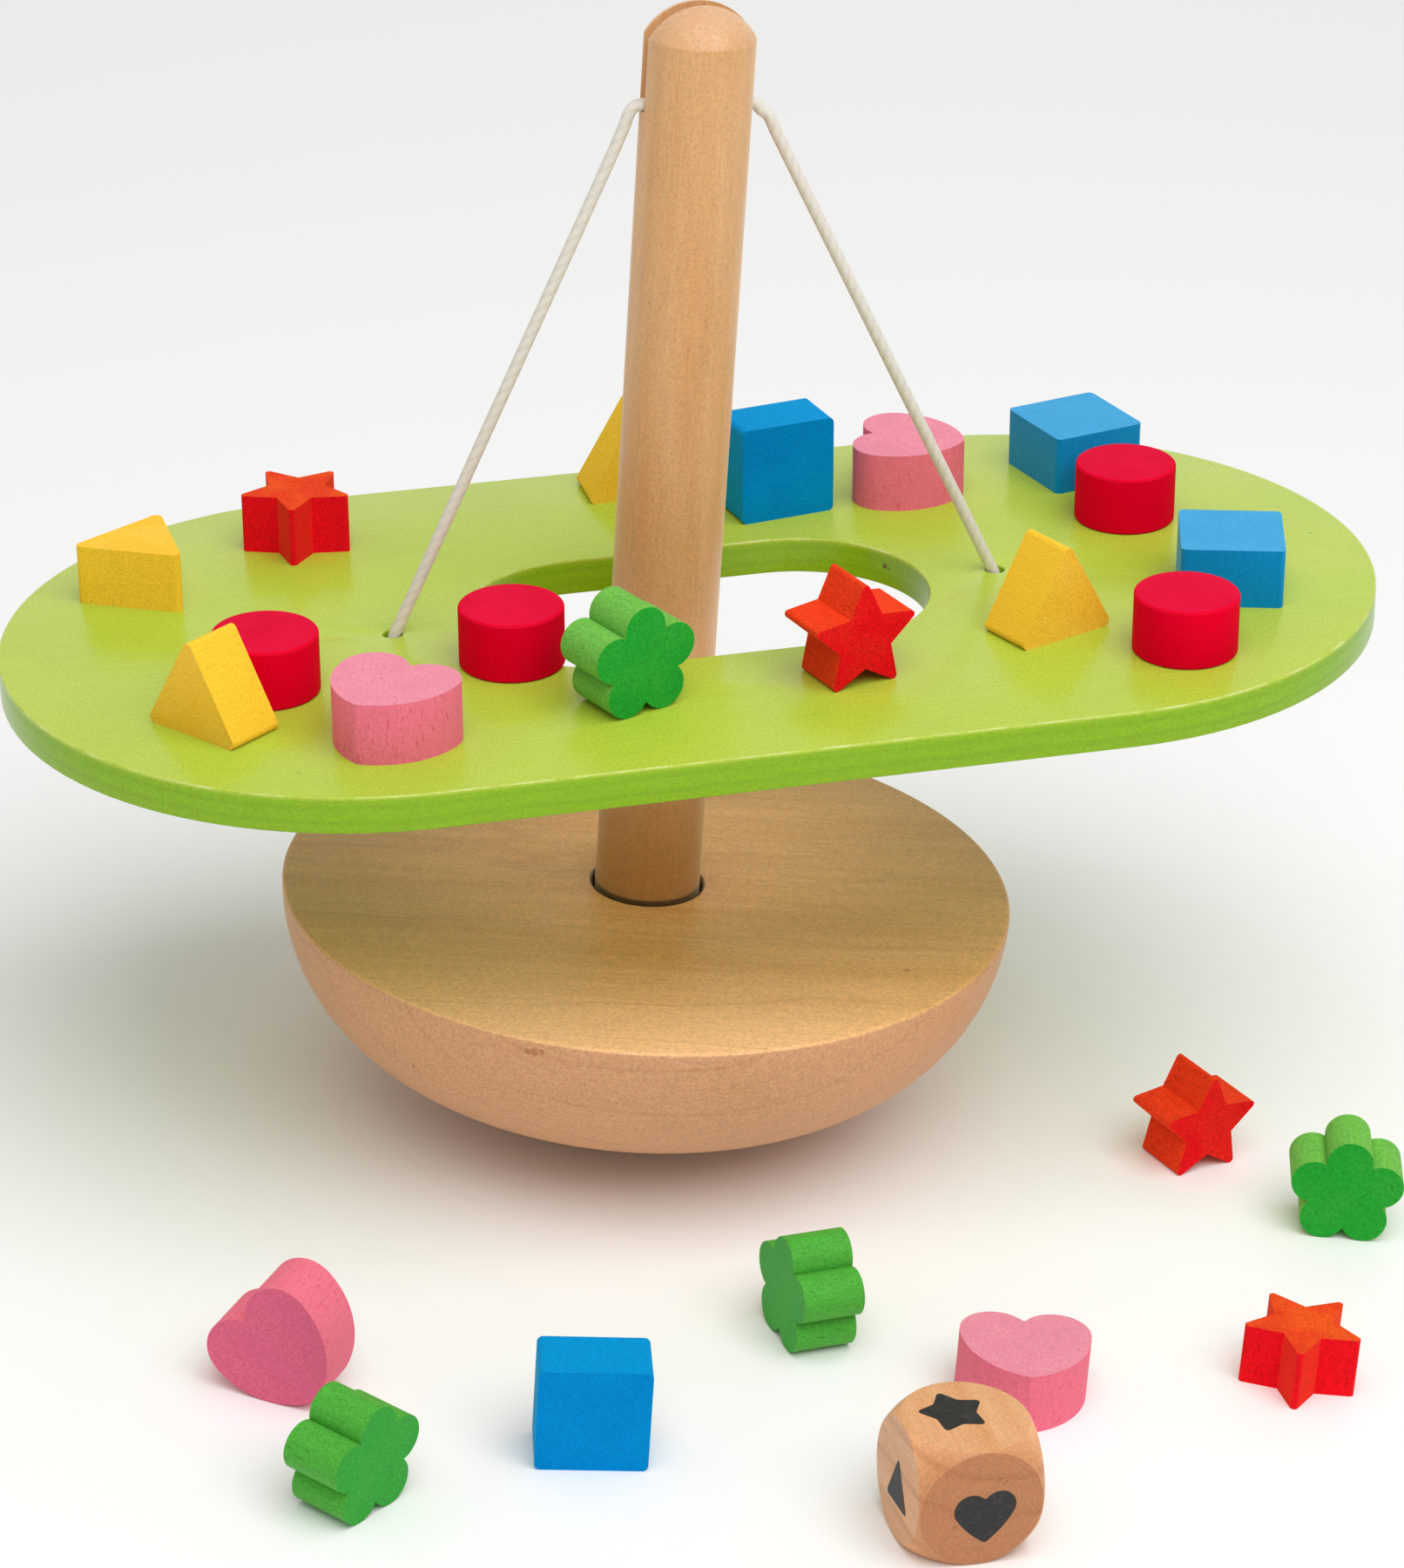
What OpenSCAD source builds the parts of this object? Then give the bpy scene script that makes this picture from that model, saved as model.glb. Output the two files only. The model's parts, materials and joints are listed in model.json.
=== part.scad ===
// Wooden balance game. A deck loaded with game pieces hangs on one cord from a slotted mast,
// and the mast stands loose in the socket of a round-bottomed rocker base.
// Millimetres, +Z up. The origin is the lowest point of the rocker, where it meets the table.
// +X runs along the deck, and the cord hangs in the XZ plane.

/* [Base] */
// Diameter of the base at its flat top
base_d = 150; // [130:1:180]
// Height of the base
base_h = 46.5; // [42:0.5:52]
// Radius of the rocking part of the underside
rocker_r = 120; // [110:1:135]
// Width of the broken edge round the flat top
rim_chamfer = 0.8; // [0.3:0.1:2]
// Depth of the socket for the mast
socket_depth = 25; // [18:0.5:32]

/* [Mast] */
// Diameter of the mast
mast_d = 21.6; // [18:0.2:24]
// Height of the mast above the base, to the top of its dome
mast_rise = 186; // [175:1:200]
// Radius of the domed top
dome_r = 12.2; // [12.1:0.1:16]
// Width of the slot for the cord
slot_w = 3.4; // [3.2:0.1:5]
// Depth of the slot below the top of the dome
slot_depth = 21.2; // [16:0.2:24]
// Chamfer round the foot of the mast
foot_chamfer = 1; // [0.4:0.1:2]

/* [Cord] */
// Diameter of the cord
cord_d = 2.8; // [2.2:0.1:3]
// Diameter of the knots under the deck
knot_d = 6.6; // [6:0.2:9]

/* [Deck] */
// Length of the deck over its round ends
deck_l = 280; // [270:1:310]
// Width of the deck
deck_w = 145; // [140:1:160]
// Thickness of the deck
deck_t = 7.5; // [6:0.5:10]
// Length of the hole that the mast passes through
opening_l = 95; // [85:1:98]
// Width of the hole that the mast passes through
opening_w = 53; // [45:1:54]
// Distance between the two cord holes
cord_pitch = 125; // [115:1:135]
// Diameter of the cord holes
cord_hole_d = 4; // [3.6:0.1:6]
// Drop from the cord in the slot to the top of the deck
hang_drop = 104.3; // [96:0.1:112]
// Swing of the deck from level, right end up when negative, in degrees
deck_tilt = -3.8; // [-5:0.1:2]

/* [Game pieces] */
// Thickness of every flat game piece
piece_t = 12.3; // [10:0.1:14]
// Side of the triangle before its corners are rounded
triangle_side = 23.5; // [20:0.5:26]
// Radius of the triangle's corners
triangle_round = 1.2; // [0.4:0.1:2]
// Diameter of the cylinder
cylinder_d = 20.8; // [18:0.2:23]
// Chamfer round the ends of the cylinder
cylinder_chamfer = 0.4; // [0.2:0.1:1]
// Side of the square block
block_w = 20.8; // [18:0.2:23]
// Radius of the block's corners
block_round = 1.2; // [0.4:0.1:2]
// Radius of the heart's two lobes
heart_lobe_r = 6.7; // [6.2:0.1:7.2]
// Distance between the centres of the heart's lobes
heart_lobe_pitch = 11.5; // [10.5:0.1:12]
// Radius of the heart's flanks
heart_flank_r = 16.5; // [15:0.5:20]
// Radius of the rounding on the heart's tip
heart_tip_r = 1.2; // [0.5:0.1:2]
// Radius of the rounding in the heart's notch
heart_notch_r = 0.5; // [0.3:0.1:1]
// Radius of the flower's petals
petal_r = 4.6; // [4:0.1:5.4]
// Distance from the middle of the flower to the middle of a petal
petal_reach = 7; // [6:0.1:8]
// Radius of the star's points before they are rounded
star_r = 12.6; // [11:0.1:14]
// Radius of the star's inner corners
star_inner_r = 6; // [5:0.1:6.8]
// Radius of the rounding on the star's points
star_round = 0.8; // [0.3:0.1:1.2]

/* [Die] */
// Width of the die across its flats
die_w = 23.6; // [21:0.2:26]
// Radius of the ball that rounds the die's corners
die_ball_r = 16.5; // [15.8:0.1:17]

/* [Fits] */
// Clearance round the mast in its socket
socket_clearance = 0.4; // [0.2:0.05:0.8]
// Gap between the cord and what holds it
cord_gap = 0.25; // [0.2:0.05:0.4]
// Gap under a game piece that stands on rounded points
stand_gap = 0.1; // [0.05:0.05:0.3]

/* [Hidden] */
$fn = 96;
set_size = 4;
corner_steps = 6;
arc_steps = 24;
heart_balance = 0.24;
petals = 5;
tips = 5;
overcut = 1;
cord_sides = 8;
cord_ring_step = 8;

// Where each piece lies: along the deck or table, across it, and its turn about the vertical
triangle_flat_place = [-111, 26, -28];
triangle_standing_places = [[-103.5, -33.2, -53], [63.5, -30.7, 21], [1.5, 60.5, 0]];
cylinder_places = [[-91, -19.7, 0], [-42.5, -19.3, 0], [97, 19.5, 0], [86.5, -47.2, 0]];
block_flat_places = [[95, 46.7, 13], [105.5, -20.7, -18]];
block_deck_standing_place = [28, 43, 9];
block_table_standing_place = [-42.2, -136.8, -11];
heart_deck_places = [[-69.6, -45.1, -42.8], [53.9, 46.8, 62.8]];
heart_table_place = [43.5, -128.3, -14];
heart_on_flank_place = [-93.3, -106.3, -35.4];
flower_deck_place = [-25, -43.2, 21];
flower_table_places = [[127.4, -79.7, -19], [8.6, -103.5, -82.6], [-88.4, -145.2, 38]];
star_deck_flat_place = [-72.5, 49.5, 165];
star_deck_standing_place = [19.5, -41.7, 15];
star_table_standing_place = [106, -48.5, 17];
star_table_flat_place = [97.5, -133.5, 156];
die_place = [17.1, -171.4, 2];

// Base and mast
base_r = base_d / 2;
side_r = (rocker_r ^ 2 - base_r ^ 2 - (rocker_r - base_h) ^ 2) / (2 * (rocker_r - base_r));
socket_d = mast_d + 2 * socket_clearance;
socket_floor = base_h - socket_depth;
mast_top = base_h + mast_rise;
mast_len = mast_top - socket_floor;
dome_rise = dome_r - sqrt(dome_r ^ 2 - mast_d ^ 2 / 4);

// The cord lies on the floor of the slot, and the deck swings about its middle there
slot_floor = mast_top - slot_depth;
hang_z = slot_floor + cord_gap + cord_d / 2;
knot_drop = hang_drop + deck_t + cord_gap + knot_d / 2;

// One side of the cord's route, out and down: along the slot and over its lip, from the mast's side,
// then the bend into the deck's hole, from the hole's upper rim
cord_saddle = [for (p = [[-2.8, 0], [0.8, -0.2], [2.2, -1.6]]) p + [mast_d / 2, 0]];
cord_lip = [for (p = [[3.4, -3.8], [4.6, -6.4], [6, -9.4]]) p + [mast_d / 2, 0]];
cord_bend = [for (p = [[-2.5, 5.1], [-0.7, 1.9], [0, -0.9]]) p + [cord_pitch / 2, -hang_drop]];
cord_leg = concat(cord_lip, cord_bend, [[cord_pitch / 2, -knot_drop]]);

// Star
star_half_angle = atan2(star_inner_r * sin(180 / tips), star_r - star_inner_r * cos(180 / tips));
star_tip_reach = star_r - star_round / sin(star_half_angle);
star_stand_h = star_tip_reach * cos(180 / tips) + star_round + stand_gap;
flower_stand_h = petal_reach * cos(180 / petals) + petal_r + stand_gap;

// Heart: each flank is an arc about a centre on the line through the lobes, and the balance point
// is part of the way from that line to the middle of the tip's rounding
heart_half_w = heart_lobe_pitch / 2 + heart_lobe_r;
heart_flank_x = heart_flank_r - heart_half_w;
heart_tip_y = -sqrt((heart_flank_r - heart_tip_r) ^ 2 - heart_flank_x ^ 2);
heart_notch_y = sqrt((heart_lobe_r + heart_notch_r) ^ 2 - heart_lobe_pitch ^ 2 / 4);
heart_roll = -90 - atan2(heart_balance * heart_tip_y, -heart_flank_x);

// Points of an arc that rounds corner b of a path a, b, c
function rounded_corner(a, b, c, r) =
    let (
        to_a = (a - b) / norm(a - b),
        to_c = (c - b) / norm(c - b),
        bisector = (to_a + to_c) / norm(to_a + to_c),
        half = acos(to_a * to_c) / 2,
        middle = b + bisector * r / sin(half),
        facing = atan2(-bisector[1], -bisector[0]),
        side = sign(to_a[0] * to_c[1] - to_a[1] * to_c[0]),
        sweep = -side * (90 - half)
    )
    [for (k = [-corner_steps:corner_steps])
        middle + r * [cos(facing + sweep * k / corner_steps), sin(facing + sweep * k / corner_steps)]];

function rounded_outline(points, r) =
    let (n = len(points))
    [for (i = [0:n - 1]) each rounded_corner(points[(i + n - 1) % n], points[i], points[(i + 1) % n], r)];

function star_points() =
    [for (k = [0:tips - 1]) each
        let (a = 90 + 360 / tips * k)
        concat(
            [for (s = [-corner_steps:corner_steps])
                let (b = a + (90 - star_half_angle) * s / corner_steps)
                star_tip_reach * [cos(a), sin(a)] + star_round * [cos(b), sin(b)]],
            [star_inner_r * [cos(a + 180 / tips), sin(a + 180 / tips)]]
        )];

// Points along an arc, without its first one
function arc_points(middle, r, from, to, steps) =
    [for (k = [1:steps])
        let (a = from + (to - from) * k / steps)
        middle + r * [cos(a), sin(a)]];

// The heart's right half, from the bottom of the notch to the tip, and then its mirror image
function heart_points() =
    let (
        notch_turn = atan2(-heart_notch_y, heart_lobe_pitch / 2),
        flank_turn = atan2(heart_tip_y, heart_flank_x),
        half = concat(
            [[0, heart_notch_y - heart_notch_r]],
            arc_points([0, heart_notch_y], heart_notch_r, -90, notch_turn, corner_steps),
            arc_points([heart_lobe_pitch / 2, 0], heart_lobe_r, notch_turn + 180, 0, arc_steps),
            arc_points([-heart_flank_x, 0], heart_flank_r, 0, flank_turn, arc_steps),
            arc_points([0, heart_tip_y], heart_tip_r, flank_turn, -90, corner_steps)
        )
    )
    concat(half, [for (i = [len(half) - 2:-1:1]) [-half[i][0], half[i][1]]]);

// Places a piece on the swung deck or on the table
module hung() {
    translate([0, 0, hang_z]) rotate([0, deck_tilt, 0]) children();
}

module on_deck(place) {
    hung() translate([place[0], place[1], -hang_drop]) rotate([0, 0, place[2]]) children();
}

module on_table(place) {
    translate([place[0], place[1], 0]) rotate([0, 0, place[2]]) children();
}

// Stands a flat piece on its edge, its front face towards -Y
module upright() {
    translate([0, piece_t / 2, 0]) rotate([90, 0, 0]) children();
}

module stadium(l, w) {
    square([l - w, w], center = true);
    for (s = [-1, 1]) translate([s * (l - w) / 2, 0]) circle(d = w);
}

// Half section of the base: a rocking arc below and a tighter arc up to the rim
module base_profile() {
    side_x = base_r - side_r;
    reach = rocker_r + overcut;
    turn = atan2(side_x, rocker_r - base_h);
    intersection() {
        polygon([
            [0, 0], [base_r, 0], [base_r, base_h - rim_chamfer],
            [base_r - rim_chamfer, base_h], [0, base_h]
        ]);
        union() {
            translate([side_x, base_h]) circle(side_r);
            intersection() {
                translate([0, rocker_r]) circle(rocker_r);
                polygon([
                    [0, rocker_r], [0, -overcut], [reach * tan(turn), -overcut],
                    [reach * sin(turn), rocker_r - reach * cos(turn)]
                ]);
            }
        }
    }
}

module base() {
    color("burlywood")
    difference() {
        rotate_extrude() base_profile();
        translate([0, 0, socket_floor]) cylinder(d = socket_d, h = socket_depth + overcut);
    }
}

module mast_blank() {
    shoulder = mast_len - dome_rise;
    cylinder(d1 = mast_d - 2 * foot_chamfer, d2 = mast_d, h = foot_chamfer);
    translate([0, 0, foot_chamfer]) cylinder(d = mast_d, h = shoulder - foot_chamfer);
    intersection() {
        translate([0, 0, mast_len - dome_r]) sphere(dome_r);
        translate([0, 0, shoulder]) cylinder(d = mast_d, h = dome_rise + overcut);
    }
}

module mast() {
    color("tan")
    difference() {
        translate([0, 0, socket_floor]) mast_blank();
        translate([-mast_d, -slot_w / 2, slot_floor]) cube([2 * mast_d, slot_w, slot_depth + overcut]);
    }
}

// The cord's points on one side, level in the slot and swung with the deck below it
function swung(p) = [
    p[0] * cos(deck_tilt) + p[1] * sin(deck_tilt), 0,
    hang_z - p[0] * sin(deck_tilt) + p[1] * cos(deck_tilt)
];
function cord_side(s) = concat(
    [for (p = cord_saddle) [s * p[0], 0, hang_z + p[1]]],
    [for (p = cord_leg) swung([s * p[0], p[1]])]
);
function reversed(path) = [for (i = [len(path) - 1:-1:0]) path[i]];

// Points along a path, no further apart than the step
function stepped(path, step) = concat(
    [for (i = [0:len(path) - 2]) each
        let (n = ceil(norm(path[i + 1] - path[i]) / step))
        [for (k = [0:n - 1]) path[i] + (path[i + 1] - path[i]) * k / n]],
    [path[len(path) - 1]]
);

// A round tube along a path in the XZ plane
module tube(path, d) {
    last = len(path) - 1;
    rings = [for (i = [0:last])
        let (
            along = path[min(i + 1, last)] - path[max(i - 1, 0)],
            normal = [-along[2], 0, along[0]] / norm(along)
        )
        each [for (k = [0:cord_sides - 1])
            let (a = 360 * (k + 0.5) / cord_sides)
            path[i] + d / 2 * (cos(a) * normal + sin(a) * [0, 1, 0])]];
    walls = [for (i = [0:last - 1], k = [0:cord_sides - 1]) each
        let (
            a = i * cord_sides + k, b = i * cord_sides + (k + 1) % cord_sides,
            c = a + cord_sides, e = b + cord_sides
        )
        [[a, b, c], [b, e, c]]];
    start = [for (k = [cord_sides - 1:-1:0]) k];
    end = [for (k = [0:cord_sides - 1]) last * cord_sides + k];
    polyhedron(rings, concat(walls, [start, end]));
}

module cord() {
    color("ivory")
    union() {
        tube(stepped(concat(reversed(cord_side(-1)), cord_side(1)), cord_ring_step), cord_d);
        for (s = [-1, 1]) hung() translate([s * cord_pitch / 2, 0, -knot_drop]) sphere(d = knot_d);
    }
}

module deck() {
    color("yellowgreen")
    hung() translate([0, 0, -hang_drop - deck_t])
    difference() {
        linear_extrude(deck_t) stadium(deck_l, deck_w);
        translate([0, 0, -overcut]) linear_extrude(deck_t + 2 * overcut) stadium(opening_l, opening_w);
        for (s = [-1, 1]) translate([s * cord_pitch / 2, 0, -overcut])
            cylinder(d = cord_hole_d, h = deck_t + 2 * overcut);
    }
}

// The six shapes, each lying flat on z = 0
module triangle_shape() {
    half = triangle_side / 2;
    linear_extrude(piece_t)
    polygon(rounded_outline([[-half, 0], [half, 0], [0, triangle_side * sin(60)]], triangle_round));
}

module cylinder_shape() {
    small_d = cylinder_d - 2 * cylinder_chamfer;
    cylinder(d1 = small_d, d2 = cylinder_d, h = cylinder_chamfer);
    translate([0, 0, cylinder_chamfer]) cylinder(d = cylinder_d, h = piece_t - 2 * cylinder_chamfer);
    translate([0, 0, piece_t - cylinder_chamfer]) cylinder(d1 = cylinder_d, d2 = small_d, h = cylinder_chamfer);
}

module block_shape() {
    half = block_w / 2;
    linear_extrude(piece_t)
    polygon(rounded_outline([[-half, -half], [half, -half], [half, half], [-half, half]], block_round));
}

module heart_shape() {
    linear_extrude(piece_t) polygon(heart_points());
}

module flower_shape() {
    linear_extrude(piece_t) {
        circle(petal_reach);
        for (k = [0:petals - 1]) rotate(90 + 360 / petals * k) translate([petal_reach, 0]) circle(petal_r);
    }
}

module star_shape() {
    linear_extrude(piece_t) polygon(star_points());
}

module yellow_triangle(i) {
    color("gold")
    if (i == 0) on_deck(triangle_flat_place) triangle_shape();
    else on_deck(triangle_standing_places[i - 1]) upright() triangle_shape();
}

module red_cylinder(i) {
    color("crimson") on_deck(cylinder_places[i]) cylinder_shape();
}

module blue_block(i) {
    stand = [0, block_w / 2, 0];
    color("steelblue")
    if (i < 2) on_deck(block_flat_places[i]) block_shape();
    else if (i == 2) on_deck(block_deck_standing_place) upright() translate(stand) block_shape();
    else on_table(block_table_standing_place) upright() translate(stand) block_shape();
}

module pink_heart(i) {
    color("lightpink")
    if (i < 2) on_deck(heart_deck_places[i]) heart_shape();
    else if (i == 2) on_table(heart_table_place) heart_shape();
    else on_table(heart_on_flank_place) upright()
        translate([0, heart_flank_r + stand_gap, 0]) rotate(heart_roll)
        translate([-heart_flank_x, 0, 0]) heart_shape();
}

module green_flower(i) {
    stand = [0, flower_stand_h, 0];
    color("forestgreen")
    if (i == 0) on_deck(flower_deck_place) upright() translate(stand) flower_shape();
    else on_table(flower_table_places[i - 1]) upright() translate(stand) flower_shape();
}

module red_star(i) {
    stand = [0, star_stand_h, 0];
    color("orangered")
    if (i == 0) on_deck(star_deck_flat_place) star_shape();
    else if (i == 1) on_deck(star_deck_standing_place) upright() translate(stand) star_shape();
    else if (i == 2) on_table(star_table_standing_place) upright() translate(stand) star_shape();
    else on_table(star_table_flat_place) star_shape();
}

module die() {
    color("burlywood")
    on_table(die_place) translate([0, 0, die_w / 2])
    intersection() {
        cube(die_w, center = true);
        sphere(die_ball_r);
    }
}

base();
mast();
cord();
deck();
for (i = [0:set_size - 1]) {
    yellow_triangle(i);
    red_cylinder(i);
    blue_block(i);
    pink_heart(i);
    green_flower(i);
    red_star(i);
}
die();
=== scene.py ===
"""Dresses the wooden balance game.

A lime green deck, loaded with small stained shapes, hangs on one cord from a slotted beech mast.
The mast stands loose in the socket of a round-bottomed base, and the rest of the set lies in front.
Sizes in the classes are millimetres, and places come from the frame.
"""

import json
import logging
import math
from contextlib import contextmanager
from dataclasses import dataclass
from enum import Enum
from typing import Any, Callable, Iterator, Sequence

import bpy
from mathutils import Matrix, Vector


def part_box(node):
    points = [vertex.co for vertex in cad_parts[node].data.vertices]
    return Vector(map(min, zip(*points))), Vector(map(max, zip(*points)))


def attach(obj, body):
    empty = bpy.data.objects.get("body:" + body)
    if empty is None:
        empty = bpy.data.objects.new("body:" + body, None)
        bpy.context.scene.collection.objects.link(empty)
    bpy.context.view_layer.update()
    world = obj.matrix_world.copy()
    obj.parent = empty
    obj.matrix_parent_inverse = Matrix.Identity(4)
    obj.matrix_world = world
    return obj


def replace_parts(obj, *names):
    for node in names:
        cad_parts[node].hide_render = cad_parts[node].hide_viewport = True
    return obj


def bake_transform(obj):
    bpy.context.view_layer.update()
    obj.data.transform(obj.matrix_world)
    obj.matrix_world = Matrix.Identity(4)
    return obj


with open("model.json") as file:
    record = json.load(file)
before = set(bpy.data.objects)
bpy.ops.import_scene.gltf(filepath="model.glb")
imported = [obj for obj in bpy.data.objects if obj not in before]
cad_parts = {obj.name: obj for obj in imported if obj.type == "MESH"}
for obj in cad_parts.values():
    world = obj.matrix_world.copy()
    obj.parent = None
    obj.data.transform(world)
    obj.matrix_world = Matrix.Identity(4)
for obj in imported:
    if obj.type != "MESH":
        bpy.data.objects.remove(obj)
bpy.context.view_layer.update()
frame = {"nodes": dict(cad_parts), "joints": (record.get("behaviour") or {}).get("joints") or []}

log = logging.getLogger("balance_game")

MM = 0.001

# Mesh attributes that the finishes read; the wear one marks worn edges, and on the base the socket and its
# mouth for painted shade
GRAIN, WEAR_AND_SHADE, CAP, YARN = "grain", "wear", "cap", "yarn"

# Corners of a solid's triangles that lie this near are one, and faces this level are one
MERGE_MM = 0.002
FLAT_ANGLE = math.radians(0.4)
SMOOTH_ANGLE = math.radians(32)

# How squarely a face has to look along a direction to count as flush with it, or as end grain
FLUSH = 0.999
END_GRAIN = 0.95

# A face that looks up or down by more than this is level
LEVEL = 0.5

# How far the grain pattern moves from one game piece to the next
GRAIN_STEP_MM = (37.0, 23.0, 11.0)

# A noise texture keeps mostly between these two values
NOISE_LOW, NOISE_HIGH = 0.3, 0.7

# Sockets of a mix node that mixes colours: the two colours in and the one out
MIX_A, MIX_B, MIX_OUT = 6, 7, 2

Colour = tuple[float, float, float, float]
Point = tuple[float, float]
Place = tuple[float, float, float]
Span = tuple[float, float]


class Rounded(Enum):
    """Which edges of a copied solid are rounded over."""

    CAPS = "the rims of the two flat faces"
    SHARP = "every edge sharper than the limit"


class Grain(Enum):
    """The way the fibres of a beech piece run, as the turn that lays them along X."""

    ALONG = (0.0, 0.0, 0.0)
    ACROSS = (0.0, 0.0, math.pi / 2)
    UPRIGHT = (0.0, math.pi / 2, 0.0)


class Print(Enum):
    """The six shapes printed on the die."""

    STAR = "star"
    HEART = "heart"
    TRIANGLE = "triangle"
    DISC = "disc"
    SQUARE = "square"
    FLOWER = "flower"


def linear(hex_colour: str) -> Colour:
    """Turns an sRGB hex value into linear light.

    Args:
        hex_colour: A value such as "#80C040".

    Returns:
        Red, green, blue and an alpha of one.
    """
    channels = (int(hex_colour[i:i + 2], 16) / 255 for i in (1, 3, 5))
    red, green, blue = (c / 12.92 if c <= 0.04045 else ((c + 0.055) / 1.055) ** 2.4 for c in channels)
    return red, green, blue, 1.0


def add_node(
    tree: bpy.types.NodeTree, kind: str, inputs: dict[str | int, Any] | None = None, **settings: Any
) -> bpy.types.Node:
    """Adds one shader node, with its settings, values and links.

    Args:
        tree: The material's node tree.
        kind: The node's type name.
        inputs: Socket name or number to a value, or to the socket that feeds it.
        **settings: Properties of the node.

    Returns:
        The new node.
    """
    node = tree.nodes.new(kind)
    for name, value in settings.items():
        setattr(node, name, value)
    for socket, value in (inputs or {}).items():
        if isinstance(value, bpy.types.NodeSocket):
            tree.links.new(value, node.inputs[socket])
        else:
            node.inputs[socket].default_value = value
    return node


def blank_material(name: str) -> tuple[bpy.types.Material, bpy.types.NodeTree, bpy.types.Node]:
    """Makes a material with a bare surface shader.

    Args:
        name: The material's name.

    Returns:
        The material, its node tree and its surface shader.
    """
    material = bpy.data.materials.new(name)
    material.use_nodes = True
    tree = material.node_tree
    tree.nodes.clear()
    surface = add_node(tree, "ShaderNodeBsdfPrincipled")
    add_node(tree, "ShaderNodeOutputMaterial", {"Surface": surface.outputs["BSDF"]})
    return material, tree, surface


@contextmanager
def editing(piece: bpy.types.Object, select_mode: str = "VERT") -> Iterator[None]:
    """Opens one object in edit mode, with nothing else selected, and closes it again.

    Args:
        piece: The mesh object to edit.
        select_mode: VERT, EDGE or FACE.
    """
    bpy.ops.object.select_all(action="DESELECT")
    piece.select_set(True)
    bpy.context.view_layer.objects.active = piece
    bpy.ops.object.mode_set(mode="EDIT")
    bpy.ops.mesh.select_mode(type=select_mode)
    yield
    bpy.ops.object.mode_set(mode="OBJECT")


def new_piece(name: str, mesh: bpy.types.Mesh) -> bpy.types.Object:
    """Links a mesh into the scene as an object at the origin.

    Args:
        name: The piece's name.
        mesh: Its mesh, in the frame's own place.

    Returns:
        The new object.
    """
    mesh.name = name
    piece = bpy.data.objects.new(name, mesh)
    bpy.context.scene.collection.objects.link(piece)
    return piece


def copy_node(node: str, name: str) -> bpy.types.Object:
    """Copies a solid's mesh, merged and cleared of the edges between its flat triangles.

    Args:
        node: The solid to copy.
        name: The new piece's name.

    Returns:
        The new piece, in the solid's place.
    """
    mesh = frame["nodes"][node].data.copy()
    mesh.materials.clear()
    piece = new_piece(name, mesh)
    with editing(piece):
        bpy.ops.mesh.select_all(action="SELECT")
        bpy.ops.mesh.customdata_custom_splitnormals_clear()
        bpy.ops.mesh.remove_doubles(threshold=MERGE_MM * MM)
        bpy.ops.mesh.dissolve_limited(angle_limit=FLAT_ANGLE)
    return piece


def smooth(piece: bpy.types.Object) -> None:
    """Shades a piece smooth except over its sharp edges.

    Args:
        piece: The mesh object.
    """
    bpy.ops.object.select_all(action="DESELECT")
    piece.select_set(True)
    bpy.context.view_layer.objects.active = piece
    bpy.ops.object.shade_smooth_by_angle(angle=SMOOTH_ANGLE)


def mark_wear(piece: bpy.types.Object) -> None:
    """Writes the wear attribute: one along the middle of the faces that are selected, nought elsewhere.

    Args:
        piece: The mesh object, with its rounded faces selected.
    """
    mesh = piece.data
    linked = [0] * len(mesh.vertices)
    chosen = [0] * len(mesh.vertices)
    for face in mesh.polygons:
        for v in face.vertices:
            linked[v] += 1
            chosen[v] += face.select
    wear = mesh.attributes.new(WEAR_AND_SHADE, "FLOAT", "POINT")
    wear.data.foreach_set("value", [float(c == n and n > 0) for c, n in zip(chosen, linked)])


def round_edges(
    piece: bpy.types.Object, width_mm: float, rounded: Rounded, axis: Vector | None = None,
    limit_deg: float = 25.0, segments: int = 4
) -> None:
    """Rounds a piece over, marks the rounding as worn and shades the piece smooth.

    Args:
        piece: The mesh object.
        width_mm: How far the rounding reaches from the edge.
        rounded: Which edges are rounded.
        axis: The direction of the flat faces, where their rims are rounded.
        limit_deg: How sharp an edge has to be, where sharp edges are rounded.
        segments: Faces across the rounding.
    """
    if rounded is Rounded.CAPS:
        for face in piece.data.polygons:
            face.select = abs(face.normal.dot(axis)) > FLUSH
        with editing(piece, "FACE"):
            bpy.ops.mesh.region_to_loop()
            bpy.ops.mesh.bevel(offset=width_mm * MM, segments=segments, affect="EDGES", clamp_overlap=True)
    else:
        with editing(piece, "EDGE"):
            bpy.ops.mesh.select_all(action="DESELECT")
            bpy.ops.mesh.edges_select_sharp(sharpness=math.radians(limit_deg))
            bpy.ops.mesh.bevel(offset=width_mm * MM, segments=segments, affect="EDGES", clamp_overlap=True)
    mark_wear(piece)
    smooth(piece)


def flat_axis(mesh: bpy.types.Mesh) -> Vector:
    """Finds the direction through a flat piece, from its largest pair of opposite faces.

    Args:
        mesh: A mesh whose flat faces are single polygons.

    Returns:
        The unit direction.
    """
    opposite, alike = -0.9999, 0.95
    faces = sorted(mesh.polygons, key=lambda f: -f.area)
    for face in faces:
        if any(face.normal.dot(f.normal) < opposite and f.area > alike * face.area for f in faces):
            return face.normal.copy()
    raise ValueError(f"{mesh.name} has no pair of flat faces")


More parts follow.
